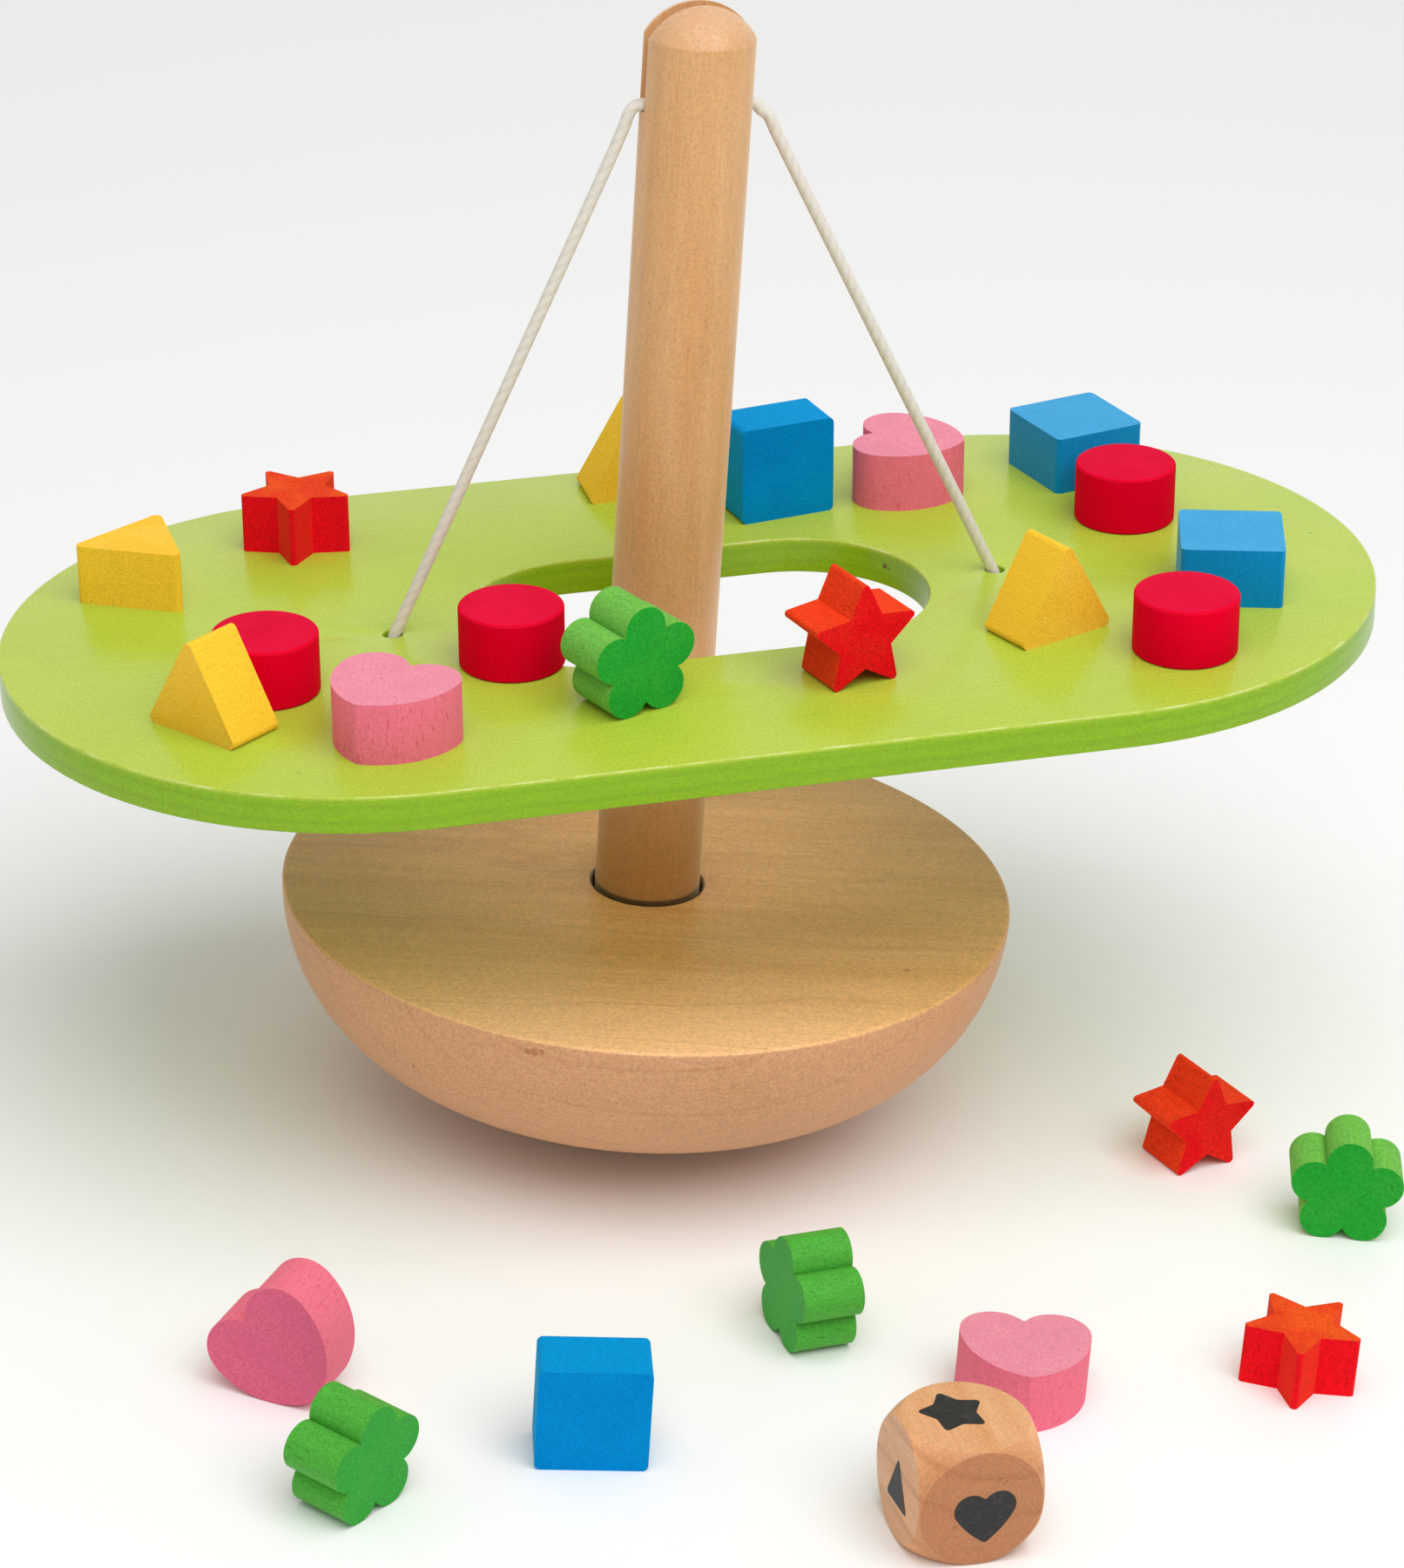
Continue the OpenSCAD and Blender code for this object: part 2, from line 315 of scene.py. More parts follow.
def mark_grain(piece: bpy.types.Object, axis: Vector, number: int) -> None:
    """Writes a piece's own coordinates, in millimetres with the fibres along Z, and marks its end grain.

    Args:
        piece: The mesh object.
        axis: The direction of its fibres.
        number: The piece's number, which moves the pattern so that no two pieces look alike.
    """
    mesh = piece.data
    middle = sum((v.co for v in mesh.vertices), Vector()) / len(mesh.vertices)
    far = max(mesh.vertices, key=lambda v: (v.co - middle).cross(axis).length).co - middle
    across = (far - axis * far.dot(axis)).normalized()
    turn = Matrix((across, axis.cross(across), axis))
    shift = Vector(GRAIN_STEP_MM) * number
    grain = mesh.attributes.new(GRAIN, "FLOAT_VECTOR", "POINT")
    for v in mesh.vertices:
        grain.data[v.index].vector = turn @ (v.co - middle) / MM + shift
    mark_cut(piece, lambda face: float(abs(face.normal.dot(axis)) > END_GRAIN))


def mark_cut(piece: bpy.types.Object, cut: Callable[[bpy.types.MeshPolygon], float]) -> None:
    """Marks how far each face of a piece cuts across its fibres.

    Args:
        piece: The mesh object.
        cut: Gives a face's share, from nought along the fibres to one straight across them.
    """
    mark = piece.data.attributes.new(CAP, "FLOAT", "FACE")
    mark.data.foreach_set("value", [cut(face) for face in piece.data.polygons])


def dress(piece: bpy.types.Object, material: bpy.types.Material, slot: str, body: str) -> None:
    """Gives a piece its finish and the body that it rides on.

    Args:
        piece: The mesh object.
        material: Its finish.
        slot: The name of the material slot in the record; not used.
        body: The body that carries the piece.
    """
    piece.data.materials.append(material)
    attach(piece, body)
    log.info("%s rides on %s", piece.name, body)


def arc(middle: Point, radius: float, start_deg: float, end_deg: float, steps: int) -> list[Point]:
    """Works out points along an arc.

    Args:
        middle: The arc's centre.
        radius: Its radius.
        start_deg: Where it starts, in degrees from the first axis towards the second.
        end_deg: Where it ends.
        steps: How many pieces it is cut into.

    Returns:
        The points, both ends included.
    """
    angles = (math.radians(start_deg + (end_deg - start_deg) * k / steps) for k in range(steps + 1))
    return [(middle[0] + radius * math.cos(a), middle[1] + radius * math.sin(a)) for a in angles]


@dataclass(frozen=True)
class StainedWood:
    """Basswood cut from a moulding, dipped in water stain and left matt.

    The stain sinks deeper into open pores and end grain, so the walls show short dark streaks along
    the fibres, the sawn faces show fine dots, and rubbed edges are paler.
    """

    name: str
    slot: str
    wall: str
    end: str
    bloom: str
    pore: str
    edge: str
    nap: str
    nap_weight: float
    uneven: float
    streaks: float
    fibre: float
    speckle: float
    roughness: float = 0.66
    gloss: float = 0.02
    # Basswood's fibres, pores and grit are under 0.1 mm, too fine to show, so all three are drawn coarser
    fibre_mm: float = 0.45
    fibre_run: float = 12.5
    pore_mm: float = 0.55
    pore_run: float = 5.0
    pore_range: Span = (0.6, 0.72)
    grit_mm: float = 0.5
    cloud_mm: float = 9.0
    streak_range: Span = (0.4, 0.62)
    bloom_range: Span = (0.42, 0.62)
    relief_mm: float = 0.05
    relief_strength: float = 0.8

    def material(self) -> bpy.types.Material:
        """Builds the finish.

        Returns:
            A material on the piece's own grain coordinates.
        """
        material, tree, surface = blank_material(self.name)
        grain = add_node(tree, "ShaderNodeAttribute", attribute_name=GRAIN).outputs["Vector"]
        wear = add_node(tree, "ShaderNodeAttribute", attribute_name=WEAR_AND_SHADE).outputs["Fac"]
        cap = add_node(tree, "ShaderNodeAttribute", attribute_name=CAP).outputs["Fac"]
        # Clouds where the stain took unevenly, fibres, and grit raised by the water
        cloud = add_node(tree, "ShaderNodeTexNoise", {
            "Vector": grain, "Scale": 1 / self.cloud_mm, "Detail": 3.0})
        along_fibre = add_node(tree, "ShaderNodeMapping", {
            "Vector": grain, "Scale": (1.0, 1.0, 1 / self.fibre_run)})
        fibre = add_node(tree, "ShaderNodeTexNoise", {
            "Vector": along_fibre.outputs["Vector"], "Scale": 1 / self.fibre_mm,
            "Detail": 4.0, "Roughness": 0.6})
        grit = add_node(tree, "ShaderNodeTexNoise", {
            "Vector": grain, "Scale": 1 / self.grit_mm, "Detail": 2.0})
        # Open pores, which show as dark streaks where the clouds are thick
        along_pore = add_node(tree, "ShaderNodeMapping", {
            "Vector": grain, "Scale": (1.0, 1.0, 1 / self.pore_run)})
        pore_noise = add_node(tree, "ShaderNodeTexNoise", {
            "Vector": along_pore.outputs["Vector"], "Scale": 1 / self.pore_mm, "Detail": 1.0})
        pore = add_node(tree, "ShaderNodeMapRange", {
            "Value": pore_noise.outputs["Fac"], "From Min": self.pore_range[0],
            "From Max": self.pore_range[1]})
        patch = add_node(tree, "ShaderNodeMapRange", {
            "Value": cloud.outputs["Fac"], "From Min": self.streak_range[0],
            "From Max": self.streak_range[1],
            "To Max": self.streaks})
        streak = add_node(tree, "ShaderNodeMath", {
            0: pore.outputs["Result"], 1: patch.outputs["Result"]}, operation="MULTIPLY")
        # The stain itself, which is another tone on the sawn faces
        taken = add_node(tree, "ShaderNodeMapRange", {
            "Value": cloud.outputs["Fac"], "From Min": self.bloom_range[0], "From Max": self.bloom_range[1],
            "To Max": self.uneven})
        sawn = add_node(tree, "ShaderNodeMix", {
            0: taken.outputs["Result"], MIX_A: linear(self.end), MIX_B: linear(self.bloom)},
            data_type="RGBA")
        stain = add_node(tree, "ShaderNodeMix", {
            0: cap, MIX_A: linear(self.wall), MIX_B: sawn.outputs[MIX_OUT]}, data_type="RGBA")
        shade = add_node(tree, "ShaderNodeMapRange", {
            "Value": fibre.outputs["Fac"], "From Min": NOISE_LOW, "From Max": NOISE_HIGH,
            "To Min": 1 - self.fibre, "To Max": 1 + self.fibre})
        mottle = add_node(tree, "ShaderNodeMapRange", {
            "Value": grit.outputs["Fac"], "From Min": NOISE_LOW, "From Max": NOISE_HIGH,
            "To Min": 1 - self.speckle, "To Max": 1 + self.speckle})
        tone = add_node(tree, "ShaderNodeMath", {
            0: shade.outputs["Result"], 1: mottle.outputs["Result"]}, operation="MULTIPLY")
        toned = add_node(tree, "ShaderNodeVectorMath", {
            0: stain.outputs[MIX_OUT], "Scale": tone.outputs["Value"]}, operation="SCALE")
        streaked = add_node(tree, "ShaderNodeMix", {
            0: streak.outputs["Value"], MIX_A: toned.outputs["Vector"], MIX_B: linear(self.pore)},
            data_type="RGBA")
        # Rubbed edges, and the relief of fibres, pores and grit
        rub = add_node(tree, "ShaderNodeMath", {0: wear, 1: cloud.outputs["Fac"]}, operation="MULTIPLY")
        rubbed = add_node(tree, "ShaderNodeMix", {
            0: rub.outputs["Value"], MIX_A: streaked.outputs[MIX_OUT], MIX_B: linear(self.edge)},
            data_type="RGBA")
        sunk = add_node(tree, "ShaderNodeMath", {
            0: fibre.outputs["Fac"], 1: streak.outputs["Value"]}, operation="SUBTRACT")
        raised = add_node(tree, "ShaderNodeMath", {
            0: sunk.outputs["Value"], 1: grit.outputs["Fac"]}, operation="ADD")
        bump = add_node(tree, "ShaderNodeBump", {
            "Height": raised.outputs["Value"], "Distance": self.relief_mm * MM,
            "Strength": self.relief_strength})
        tree.links.new(rubbed.outputs[MIX_OUT], surface.inputs["Base Color"])
        tree.links.new(bump.outputs["Normal"], surface.inputs["Normal"])
        surface.inputs["Roughness"].default_value = self.roughness
        surface.inputs["Specular IOR Level"].default_value = self.gloss
        surface.inputs["Sheen Weight"].default_value = self.nap_weight
        surface.inputs["Sheen Tint"].default_value = linear(self.nap)
        return material


@dataclass(frozen=True)
class Spot:
    """One small mark on a piece, such as a dent, a knot or a pinhole, in millimetres."""

    at: Place
    radius: float


@dataclass(frozen=True)
class SpotMarks:
    """Small ragged marks in wood, which give the eye the odd dark dent, knot or pinhole."""

    spots: tuple[Spot, ...]
    ragged_mm: float = 5 / 6
    ragged: float = 0.9
    core: float = 0.4

    def mask(self, tree: bpy.types.NodeTree, place: bpy.types.NodeSocket) -> bpy.types.NodeSocket:
        """Marks the places of the spots.

        Args:
            tree: The material's node tree.
            place: The socket that gives the place in millimetres.

        Returns:
            A socket that is one in the middle of each spot and nought outside all of them.
        """
        noise = add_node(tree, "ShaderNodeTexNoise", {
            "Vector": place, "Scale": 1 / self.ragged_mm, "Detail": 2.0})
        moved = add_node(tree, "ShaderNodeVectorMath", {
            0: noise.outputs["Color"], 1: (self.ragged,) * 3, 2: place}, operation="MULTIPLY_ADD")
        mask = None
        for spot in self.spots:
            middle = tuple(c + self.ragged / 2 for c in spot.at)
            away = add_node(tree, "ShaderNodeVectorMath", {
                0: moved.outputs["Vector"], 1: middle}, operation="DISTANCE")
            inside = add_node(tree, "ShaderNodeMapRange", {
                "Value": away.outputs["Value"], "From Min": spot.radius,
                "From Max": self.core * spot.radius})
            if mask is None:
                mask = inside.outputs["Result"]
            else:
                both = add_node(tree, "ShaderNodeMath", {
                    0: mask, 1: inside.outputs["Result"]}, operation="MAXIMUM")
                mask = both.outputs["Value"]
        return mask


@dataclass(frozen=True)
class Drift:
    """A slow change of tone across a beech piece, along one direction, in millimetres, which paints light
    and shade on it.
    """

    colour: str
    way: Place
    start: float
    end: float
    weight: float


@dataclass(frozen=True)
class LacqueredBeech:
    """Turned beech under a thin clear satin lacquer.

    The eye gets soft orange streaks along the fibres, a few thin growth lines, fine dark flecks, a redder
    tone where the fibres are cut across, small dents, and a low gloss over all.
    """

    name: str
    pale: str
    streak: str
    end: str
    fleck: str
    grain: Grain
    marks: SpotMarks
    drifts: tuple[Drift, ...] = ()
    turn_deg: float = 0.0
    # Patterns are drawn out along the fibres: these are their rates there, against one across
    along: float = 0.06
    fleck_along: float = 0.15
    sway_along: float = 0.2
    # Growth rings, round a heart that lies outside the piece
    heart_mm: Place = (0.0, 40.0, -90.0)
    ring_mm: float = 6.0
    ring_edge: float = 0.7
    figure: float = 0.2
    sway_mm: float = 22.0
    sway_rings: float = 3.2
    streak_mm: float = 4.5
    streak_range: Span = (0.32, 0.68)
    # Beech fibres and pores are under 0.1 mm wide, too fine to show, so fibres and grit are drawn coarser
    fibre_mm: float = 0.4
    fibre_tone: Span = (0.93, 1.05)
    fleck_mm: float = 0.3
    fleck_range: Span = (0.66, 0.8)
    fleck_share: float = 0.16
    grit_mm: float = 0.6
    speckle: float = 0.1
    mark_share: float = 0.6
    mark_depth: float = 12.0
    # Rings left by the cutter where it crossed the fibres, round the middle of the lathe
    lathe_mm: Place = (0.0, 0.0, 0.0)
    turning: float = 0.0
    turning_mm: float = 0.9
    turning_ragged: float = 5.0
    # Darkens where the wear attribute is set: the die's rims, and painted shade in the base's socket and
    # its mouth
    rim: float = 0.0
    roughness: float = 0.4
    roughness_spread: Span = (-0.06, 0.1)
    gloss: float = 0.4
    haze: float = 0.0
    haze_tint: str = "#FFE6C4"
    relief_mm: float = 0.03
    relief_strength: float = 0.6

    def material(self) -> bpy.types.Material:
        """Builds the finish.

        Returns:
            A material on object coordinates.
        """
        material, tree, surface = blank_material(self.name)
        place = add_node(tree, "ShaderNodeTexCoord").outputs["Object"]
        metric = add_node(tree, "ShaderNodeMapping", {
            "Vector": place, "Scale": (1 / MM,) * 3}).outputs["Vector"]
        tilt_x, tilt_y, tilt_z = self.grain.value
        fibre_way = (tilt_x, tilt_y, tilt_z + math.radians(self.turn_deg))
        laid = add_node(tree, "ShaderNodeMapping", {
            "Vector": metric, "Rotation": fibre_way}).outputs["Vector"]
        # Growth rings that sway a little along the fibres
        sway_space = add_node(tree, "ShaderNodeMapping", {
            "Vector": laid, "Scale": (self.sway_along, 1.0, 1.0)})
        sway = add_node(tree, "ShaderNodeTexNoise", {
            "Vector": sway_space.outputs["Vector"], "Scale": 1 / self.sway_mm, "Detail": 2.0})
        from_heart = add_node(tree, "ShaderNodeVectorMath", {
            0: laid, 1: self.heart_mm}, operation="SUBTRACT")
        across = add_node(tree, "ShaderNodeVectorMath", {
            0: from_heart.outputs["Vector"], 1: (self.along, 1.0, 1.0)}, operation="MULTIPLY")
        reach = add_node(tree, "ShaderNodeVectorMath", {0: across.outputs["Vector"]}, operation="LENGTH")
        swayed = add_node(tree, "ShaderNodeMath", {
            0: sway.outputs["Fac"], 1: self.ring_mm * self.sway_rings, 2: reach.outputs["Value"]},
            operation="MULTIPLY_ADD")
        ring = add_node(tree, "ShaderNodeMath", {
            0: swayed.outputs["Value"], 1: self.ring_mm}, operation="PINGPONG")
        line = add_node(tree, "ShaderNodeMapRange", {
            "Value": ring.outputs["Value"], "From Min": self.ring_edge * self.ring_mm,
            "From Max": self.ring_mm,
            "To Max": self.figure}, interpolation_type="SMOOTHSTEP")
        # Streaks, fibres and flecks along the grain
        drawn_out = add_node(tree, "ShaderNodeMapping", {"Vector": laid, "Scale": (self.along, 1.0, 1.0)})
        streak = add_node(tree, "ShaderNodeTexNoise", {
            "Vector": drawn_out.outputs["Vector"], "Scale": 1 / self.streak_mm,
            "Detail": 4.0, "Roughness": 0.6})
        soft = add_node(tree, "ShaderNodeMapRange", {
            "Value": streak.outputs["Fac"], "From Min": self.streak_range[0],
            "From Max": self.streak_range[1]})
        fibre = add_node(tree, "ShaderNodeTexNoise", {
            "Vector": drawn_out.outputs["Vector"], "Scale": 1 / self.fibre_mm,
            "Detail": 3.0, "Roughness": 0.6})
        fleck_space = add_node(tree, "ShaderNodeMapping", {
            "Vector": laid, "Scale": (self.fleck_along, 1.0, 1.0)})
        fleck_noise = add_node(tree, "ShaderNodeTexNoise", {
            "Vector": fleck_space.outputs["Vector"], "Scale": 1 / self.fleck_mm, "Detail": 0.0})
        fleck = add_node(tree, "ShaderNodeMapRange", {
            "Value": fleck_noise.outputs["Fac"], "From Min": self.fleck_range[0],
            "From Max": self.fleck_range[1],
            "To Max": self.fleck_share})
        # The wood's colour, with painted light and shade as slow changes of tone, its cut ends, its rings
        # and its marks
        wood = add_node(tree, "ShaderNodeMix", {
            0: soft.outputs["Result"], MIX_A: linear(self.pale), MIX_B: linear(self.streak)},
            data_type="RGBA")
        for drift in self.drifts:
            far = add_node(tree, "ShaderNodeVectorMath", {0: metric, 1: drift.way}, operation="DOT_PRODUCT")
            share = add_node(tree, "ShaderNodeMapRange", {
                "Value": far.outputs["Value"], "From Min": drift.start, "From Max": drift.end,
                "To Max": drift.weight}, interpolation_type="SMOOTHSTEP")
            wood = add_node(tree, "ShaderNodeMix", {
                0: share.outputs["Result"], MIX_A: wood.outputs[MIX_OUT], MIX_B: linear(drift.colour)},
                data_type="RGBA")
        cap = add_node(tree, "ShaderNodeAttribute", attribute_name=CAP).outputs["Fac"]
        cut = add_node(tree, "ShaderNodeMix", {
            0: cap, MIX_A: wood.outputs[MIX_OUT], MIX_B: linear(self.end)}, data_type="RGBA")
        lined = add_node(tree, "ShaderNodeMix", {
            0: line.outputs["Result"], MIX_A: cut.outputs[MIX_OUT], MIX_B: linear(self.fleck)},
            data_type="RGBA")
        mark = self.marks.mask(tree, metric)
        dark = add_node(tree, "ShaderNodeMath", {
            0: mark, 1: self.mark_share, 2: fleck.outputs["Result"]}, operation="MULTIPLY_ADD")
        flecked = add_node(tree, "ShaderNodeMix", {
            0: dark.outputs["Value"], MIX_A: lined.outputs[MIX_OUT], MIX_B: linear(self.fleck)},
            data_type="RGBA")
        # Its tone: fibres, the cutter's rings, darker rims, painted shade in the base's socket, and open
        # pores
        shade = add_node(tree, "ShaderNodeMapRange", {
            "Value": fibre.outputs["Fac"], "From Min": NOISE_LOW, "From Max": NOISE_HIGH,
            "To Min": self.fibre_tone[0], "To Max": self.fibre_tone[1]})
        from_lathe = add_node(tree, "ShaderNodeVectorMath", {
            0: metric, 1: self.lathe_mm}, operation="SUBTRACT")
        tool = add_node(tree, "ShaderNodeTexWave", {
            "Vector": from_lathe.outputs["Vector"], "Scale": math.pi / (10 * self.turning_mm),
            "Distortion": self.turning_ragged, "Detail": 3.0, "Detail Scale": 1.5},
            wave_type="RINGS", rings_direction="Y")
        torn = add_node(tree, "ShaderNodeMath", {0: tool.outputs["Fac"], 1: cap}, operation="MULTIPLY")
        turned = add_node(tree, "ShaderNodeMath", {
            0: torn.outputs["Value"], 1: self.turning, 2: shade.outputs["Result"]},
            operation="MULTIPLY_ADD")
        wear = add_node(tree, "ShaderNodeAttribute", attribute_name=WEAR_AND_SHADE).outputs["Fac"]
        rimmed = add_node(tree, "ShaderNodeMath", {
            0: wear, 1: -self.rim, 2: turned.outputs["Value"]}, operation="MULTIPLY_ADD")
        grit = add_node(tree, "ShaderNodeTexNoise", {
            "Vector": metric, "Scale": 1 / self.grit_mm, "Detail": 2.0})
        mottle = add_node(tree, "ShaderNodeMapRange", {
            "Value": grit.outputs["Fac"], "From Min": NOISE_LOW, "From Max": NOISE_HIGH,
            "To Min": 1 - self.speckle, "To Max": 1 + self.speckle})
        tone = add_node(tree, "ShaderNodeMath", {
            0: rimmed.outputs["Value"], 1: mottle.outputs["Result"]}, operation="MULTIPLY")
        toned = add_node(tree, "ShaderNodeVectorMath", {
            0: flecked.outputs[MIX_OUT], "Scale": tone.outputs["Value"]}, operation="SCALE")
        # The lacquer, uneven over the fibres and sunk in the marks
        dull = add_node(tree, "ShaderNodeMapRange", {
            "Value": fibre.outputs["Fac"], "To Min": self.roughness + self.roughness_spread[0],
            "To Max": self.roughness + self.roughness_spread[1]})
        height = add_node(tree, "ShaderNodeMath", {
            0: mark, 1: -self.mark_depth, 2: fibre.outputs["Fac"]}, operation="MULTIPLY_ADD")
        bump = add_node(tree, "ShaderNodeBump", {
            "Height": height.outputs["Value"], "Distance": self.relief_mm * MM,
            "Strength": self.relief_strength})
        tree.links.new(toned.outputs["Vector"], surface.inputs["Base Color"])
        tree.links.new(dull.outputs["Result"], surface.inputs["Roughness"])
        tree.links.new(bump.outputs["Normal"], surface.inputs["Normal"])
        surface.inputs["Specular IOR Level"].default_value = self.gloss
        surface.inputs["Sheen Weight"].default_value = self.haze
        surface.inputs["Sheen Tint"].default_value = linear(self.haze_tint)
        return material


@dataclass(frozen=True)
class StainedPly:
    """Birch plywood under lime stain and satin lacquer.

    The eye gets faint lengthwise grain, cloudy stain, a greener sawn edge with thin lines of its layers,
    pale rubs along the upper edge, a few specks, and a lacquer that mirrors softly what stands on it.
    """

    name: str
    tilt: float
    top: Vector
    lime: str
    moss: str
    edge: str
    layer: str
    rub: str
    knot: str
    marks: SpotMarks
    ply_mm: float = 1.5
    ply_wave_mm: float = 1.2
    layer_share: float = 0.4
    # Saw marks, fibres and grit are about 0.1 mm, too fine to show, so all three are drawn coarser
    saw_along: float = 0.03
    saw_share: float = 0.5
    fibre_mm: float = 0.6
    fibre_along: float = 0.05
    fibre_tone: Span = (0.95, 1.04)
    grit_mm: float = 0.6
    speckle: float = 0.11
    cloud_mm: float = 26.0
    # Depths below the top where the sawn edge takes over from the face, and where the rubs end
    edge_from_mm: Span = (-0.35, -0.9)
    rub_from_mm: Span = (-1.2, -0.8)
    scuff_mm: float = 6.0
    scuff_range: Span = (0.4, 0.65)
    scuff_share: float = 0.6
    roughness: float = 0.24
    roughness_spread: Span = (-0.05, 0.07)
    gloss: float = 0.3
    relief_mm: float = 0.02
    relief_strength: float = 0.3

    def material(self) -> bpy.types.Material:
        """Builds the finish.

        Returns:
            A material on object coordinates, laid level with the deck.
        """
        material, tree, surface = blank_material(self.name)
        place = add_node(tree, "ShaderNodeTexCoord").outputs["Object"]
        metric = add_node(tree, "ShaderNodeMapping", {
            "Vector": place, "Scale": (1 / MM,) * 3}).outputs["Vector"]
        moved = add_node(tree, "ShaderNodeVectorMath", {0: metric, 1: self.top / MM}, operation="SUBTRACT")
        laid = add_node(tree, "ShaderNodeMapping", {
            "Vector": moved.outputs["Vector"], "Rotation": (0.0, -self.tilt, 0.0)}).outputs["Vector"]
        depth = add_node(tree, "ShaderNodeSeparateXYZ", {0: laid}).outputs["Z"]
        cloud = add_node(tree, "ShaderNodeTexNoise", {
            "Vector": laid, "Scale": 1 / self.cloud_mm, "Detail": 3.0})
        fibre_space = add_node(tree, "ShaderNodeMapping", {
            "Vector": laid, "Scale": (self.fibre_along, 1.0, 1.0)})
        fibre = add_node(tree, "ShaderNodeTexNoise", {
            "Vector": fibre_space.outputs["Vector"], "Scale": 1 / self.fibre_mm,
            "Detail": 4.0, "Roughness": 0.65})
        grit = add_node(tree, "ShaderNodeTexNoise", {
            "Vector": laid, "Scale": 1 / self.grit_mm, "Detail": 3.0})
        # The sawn edge with its layers and saw marks
        wavy = add_node(tree, "ShaderNodeMath", {
            0: cloud.outputs["Fac"], 1: self.ply_wave_mm, 2: depth}, operation="MULTIPLY_ADD")
        ply = add_node(tree, "ShaderNodeMath", {
            0: wavy.outputs["Value"], 1: self.ply_mm}, operation="PINGPONG")
        saw_space = add_node(tree, "ShaderNodeMapping", {
            "Vector": laid, "Scale": (self.saw_along, self.saw_along, 1.0)})
        saw = add_node(tree, "ShaderNodeTexNoise", {
            "Vector": saw_space.outputs["Vector"], "Scale": 1 / self.grit_mm, "Detail": 3.0})
        thin = add_node(tree, "ShaderNodeMapRange", {
            "Value": ply.outputs["Value"], "From Min": self.ply_mm / 2, "From Max": self.ply_mm,
            "To Max": self.layer_share})
        layer = add_node(tree, "ShaderNodeMath", {
            0: saw.outputs["Fac"], 1: self.saw_share, 2: thin.outputs["Result"]}, operation="MULTIPLY_ADD")
        sawn = add_node(tree, "ShaderNodeMix", {
            0: layer.outputs["Value"], MIX_A: linear(self.edge), MIX_B: linear(self.layer)},
            data_type="RGBA")
        # The cloudy face, the edge below it and a few specks
        below = add_node(tree, "ShaderNodeMapRange", {
            "Value": depth, "From Min": self.edge_from_mm[0], "From Max": self.edge_from_mm[1]})
        face = add_node(tree, "ShaderNodeMix", {
            0: cloud.outputs["Fac"], MIX_A: linear(self.lime), MIX_B: linear(self.moss)}, data_type="RGBA")
        stain = add_node(tree, "ShaderNodeMix", {
            0: below.outputs["Result"], MIX_A: face.outputs[MIX_OUT], MIX_B: sawn.outputs[MIX_OUT]},
            data_type="RGBA")
        marked = add_node(tree, "ShaderNodeMix", {
            0: self.marks.mask(tree, metric), MIX_A: stain.outputs[MIX_OUT], MIX_B: linear(self.knot)},
            data_type="RGBA")
        shade = add_node(tree, "ShaderNodeMapRange", {
            "Value": fibre.outputs["Fac"], "From Min": NOISE_LOW, "From Max": NOISE_HIGH,
            "To Min": self.fibre_tone[0], "To Max": self.fibre_tone[1]})
        mottle = add_node(tree, "ShaderNodeMapRange", {
            "Value": grit.outputs["Fac"], "From Min": NOISE_LOW, "From Max": NOISE_HIGH,
            "To Min": 1 - self.speckle, "To Max": 1 + self.speckle})
        tone = add_node(tree, "ShaderNodeMath", {
            0: shade.outputs["Result"], 1: mottle.outputs["Result"]}, operation="MULTIPLY")
        toned = add_node(tree, "ShaderNodeVectorMath", {
            0: marked.outputs[MIX_OUT], "Scale": tone.outputs["Value"]}, operation="SCALE")
        # Pale rubs along the upper edge
        wear = add_node(tree, "ShaderNodeAttribute", attribute_name=WEAR_AND_SHADE).outputs["Fac"]
        scuff_noise = add_node(tree, "ShaderNodeTexNoise", {
            "Vector": laid, "Scale": 1 / self.scuff_mm, "Detail": 4.0})
        scuff = add_node(tree, "ShaderNodeMapRange", {
            "Value": scuff_noise.outputs["Fac"], "From Min": self.scuff_range[0],
            "From Max": self.scuff_range[1],
            "To Max": self.scuff_share})
        upper = add_node(tree, "ShaderNodeMapRange", {
            "Value": depth, "From Min": self.rub_from_mm[0], "From Max": self.rub_from_mm[1]})
        worn = add_node(tree, "ShaderNodeMath", {0: wear, 1: upper.outputs["Result"]}, operation="MULTIPLY")
        rub = add_node(tree, "ShaderNodeMath", {
            0: worn.outputs["Value"], 1: scuff.outputs["Result"]}, operation="MULTIPLY")
        rubbed = add_node(tree, "ShaderNodeMix", {
            0: rub.outputs["Value"], MIX_A: toned.outputs["Vector"], MIX_B: linear(self.rub)},
            data_type="RGBA")
        dull = add_node(tree, "ShaderNodeMapRange", {
            "Value": cloud.outputs["Fac"], "To Min": self.roughness + self.roughness_spread[0],
            "To Max": self.roughness + self.roughness_spread[1]})
        bump = add_node(tree, "ShaderNodeBump", {
            "Height": grit.outputs["Fac"], "Distance": self.relief_mm * MM,
            "Strength": self.relief_strength})
        tree.links.new(rubbed.outputs[MIX_OUT], surface.inputs["Base Color"])
        tree.links.new(dull.outputs["Result"], surface.inputs["Roughness"])
        tree.links.new(bump.outputs["Normal"], surface.inputs["Normal"])
        surface.inputs["Specular IOR Level"].default_value = self.gloss
        return material


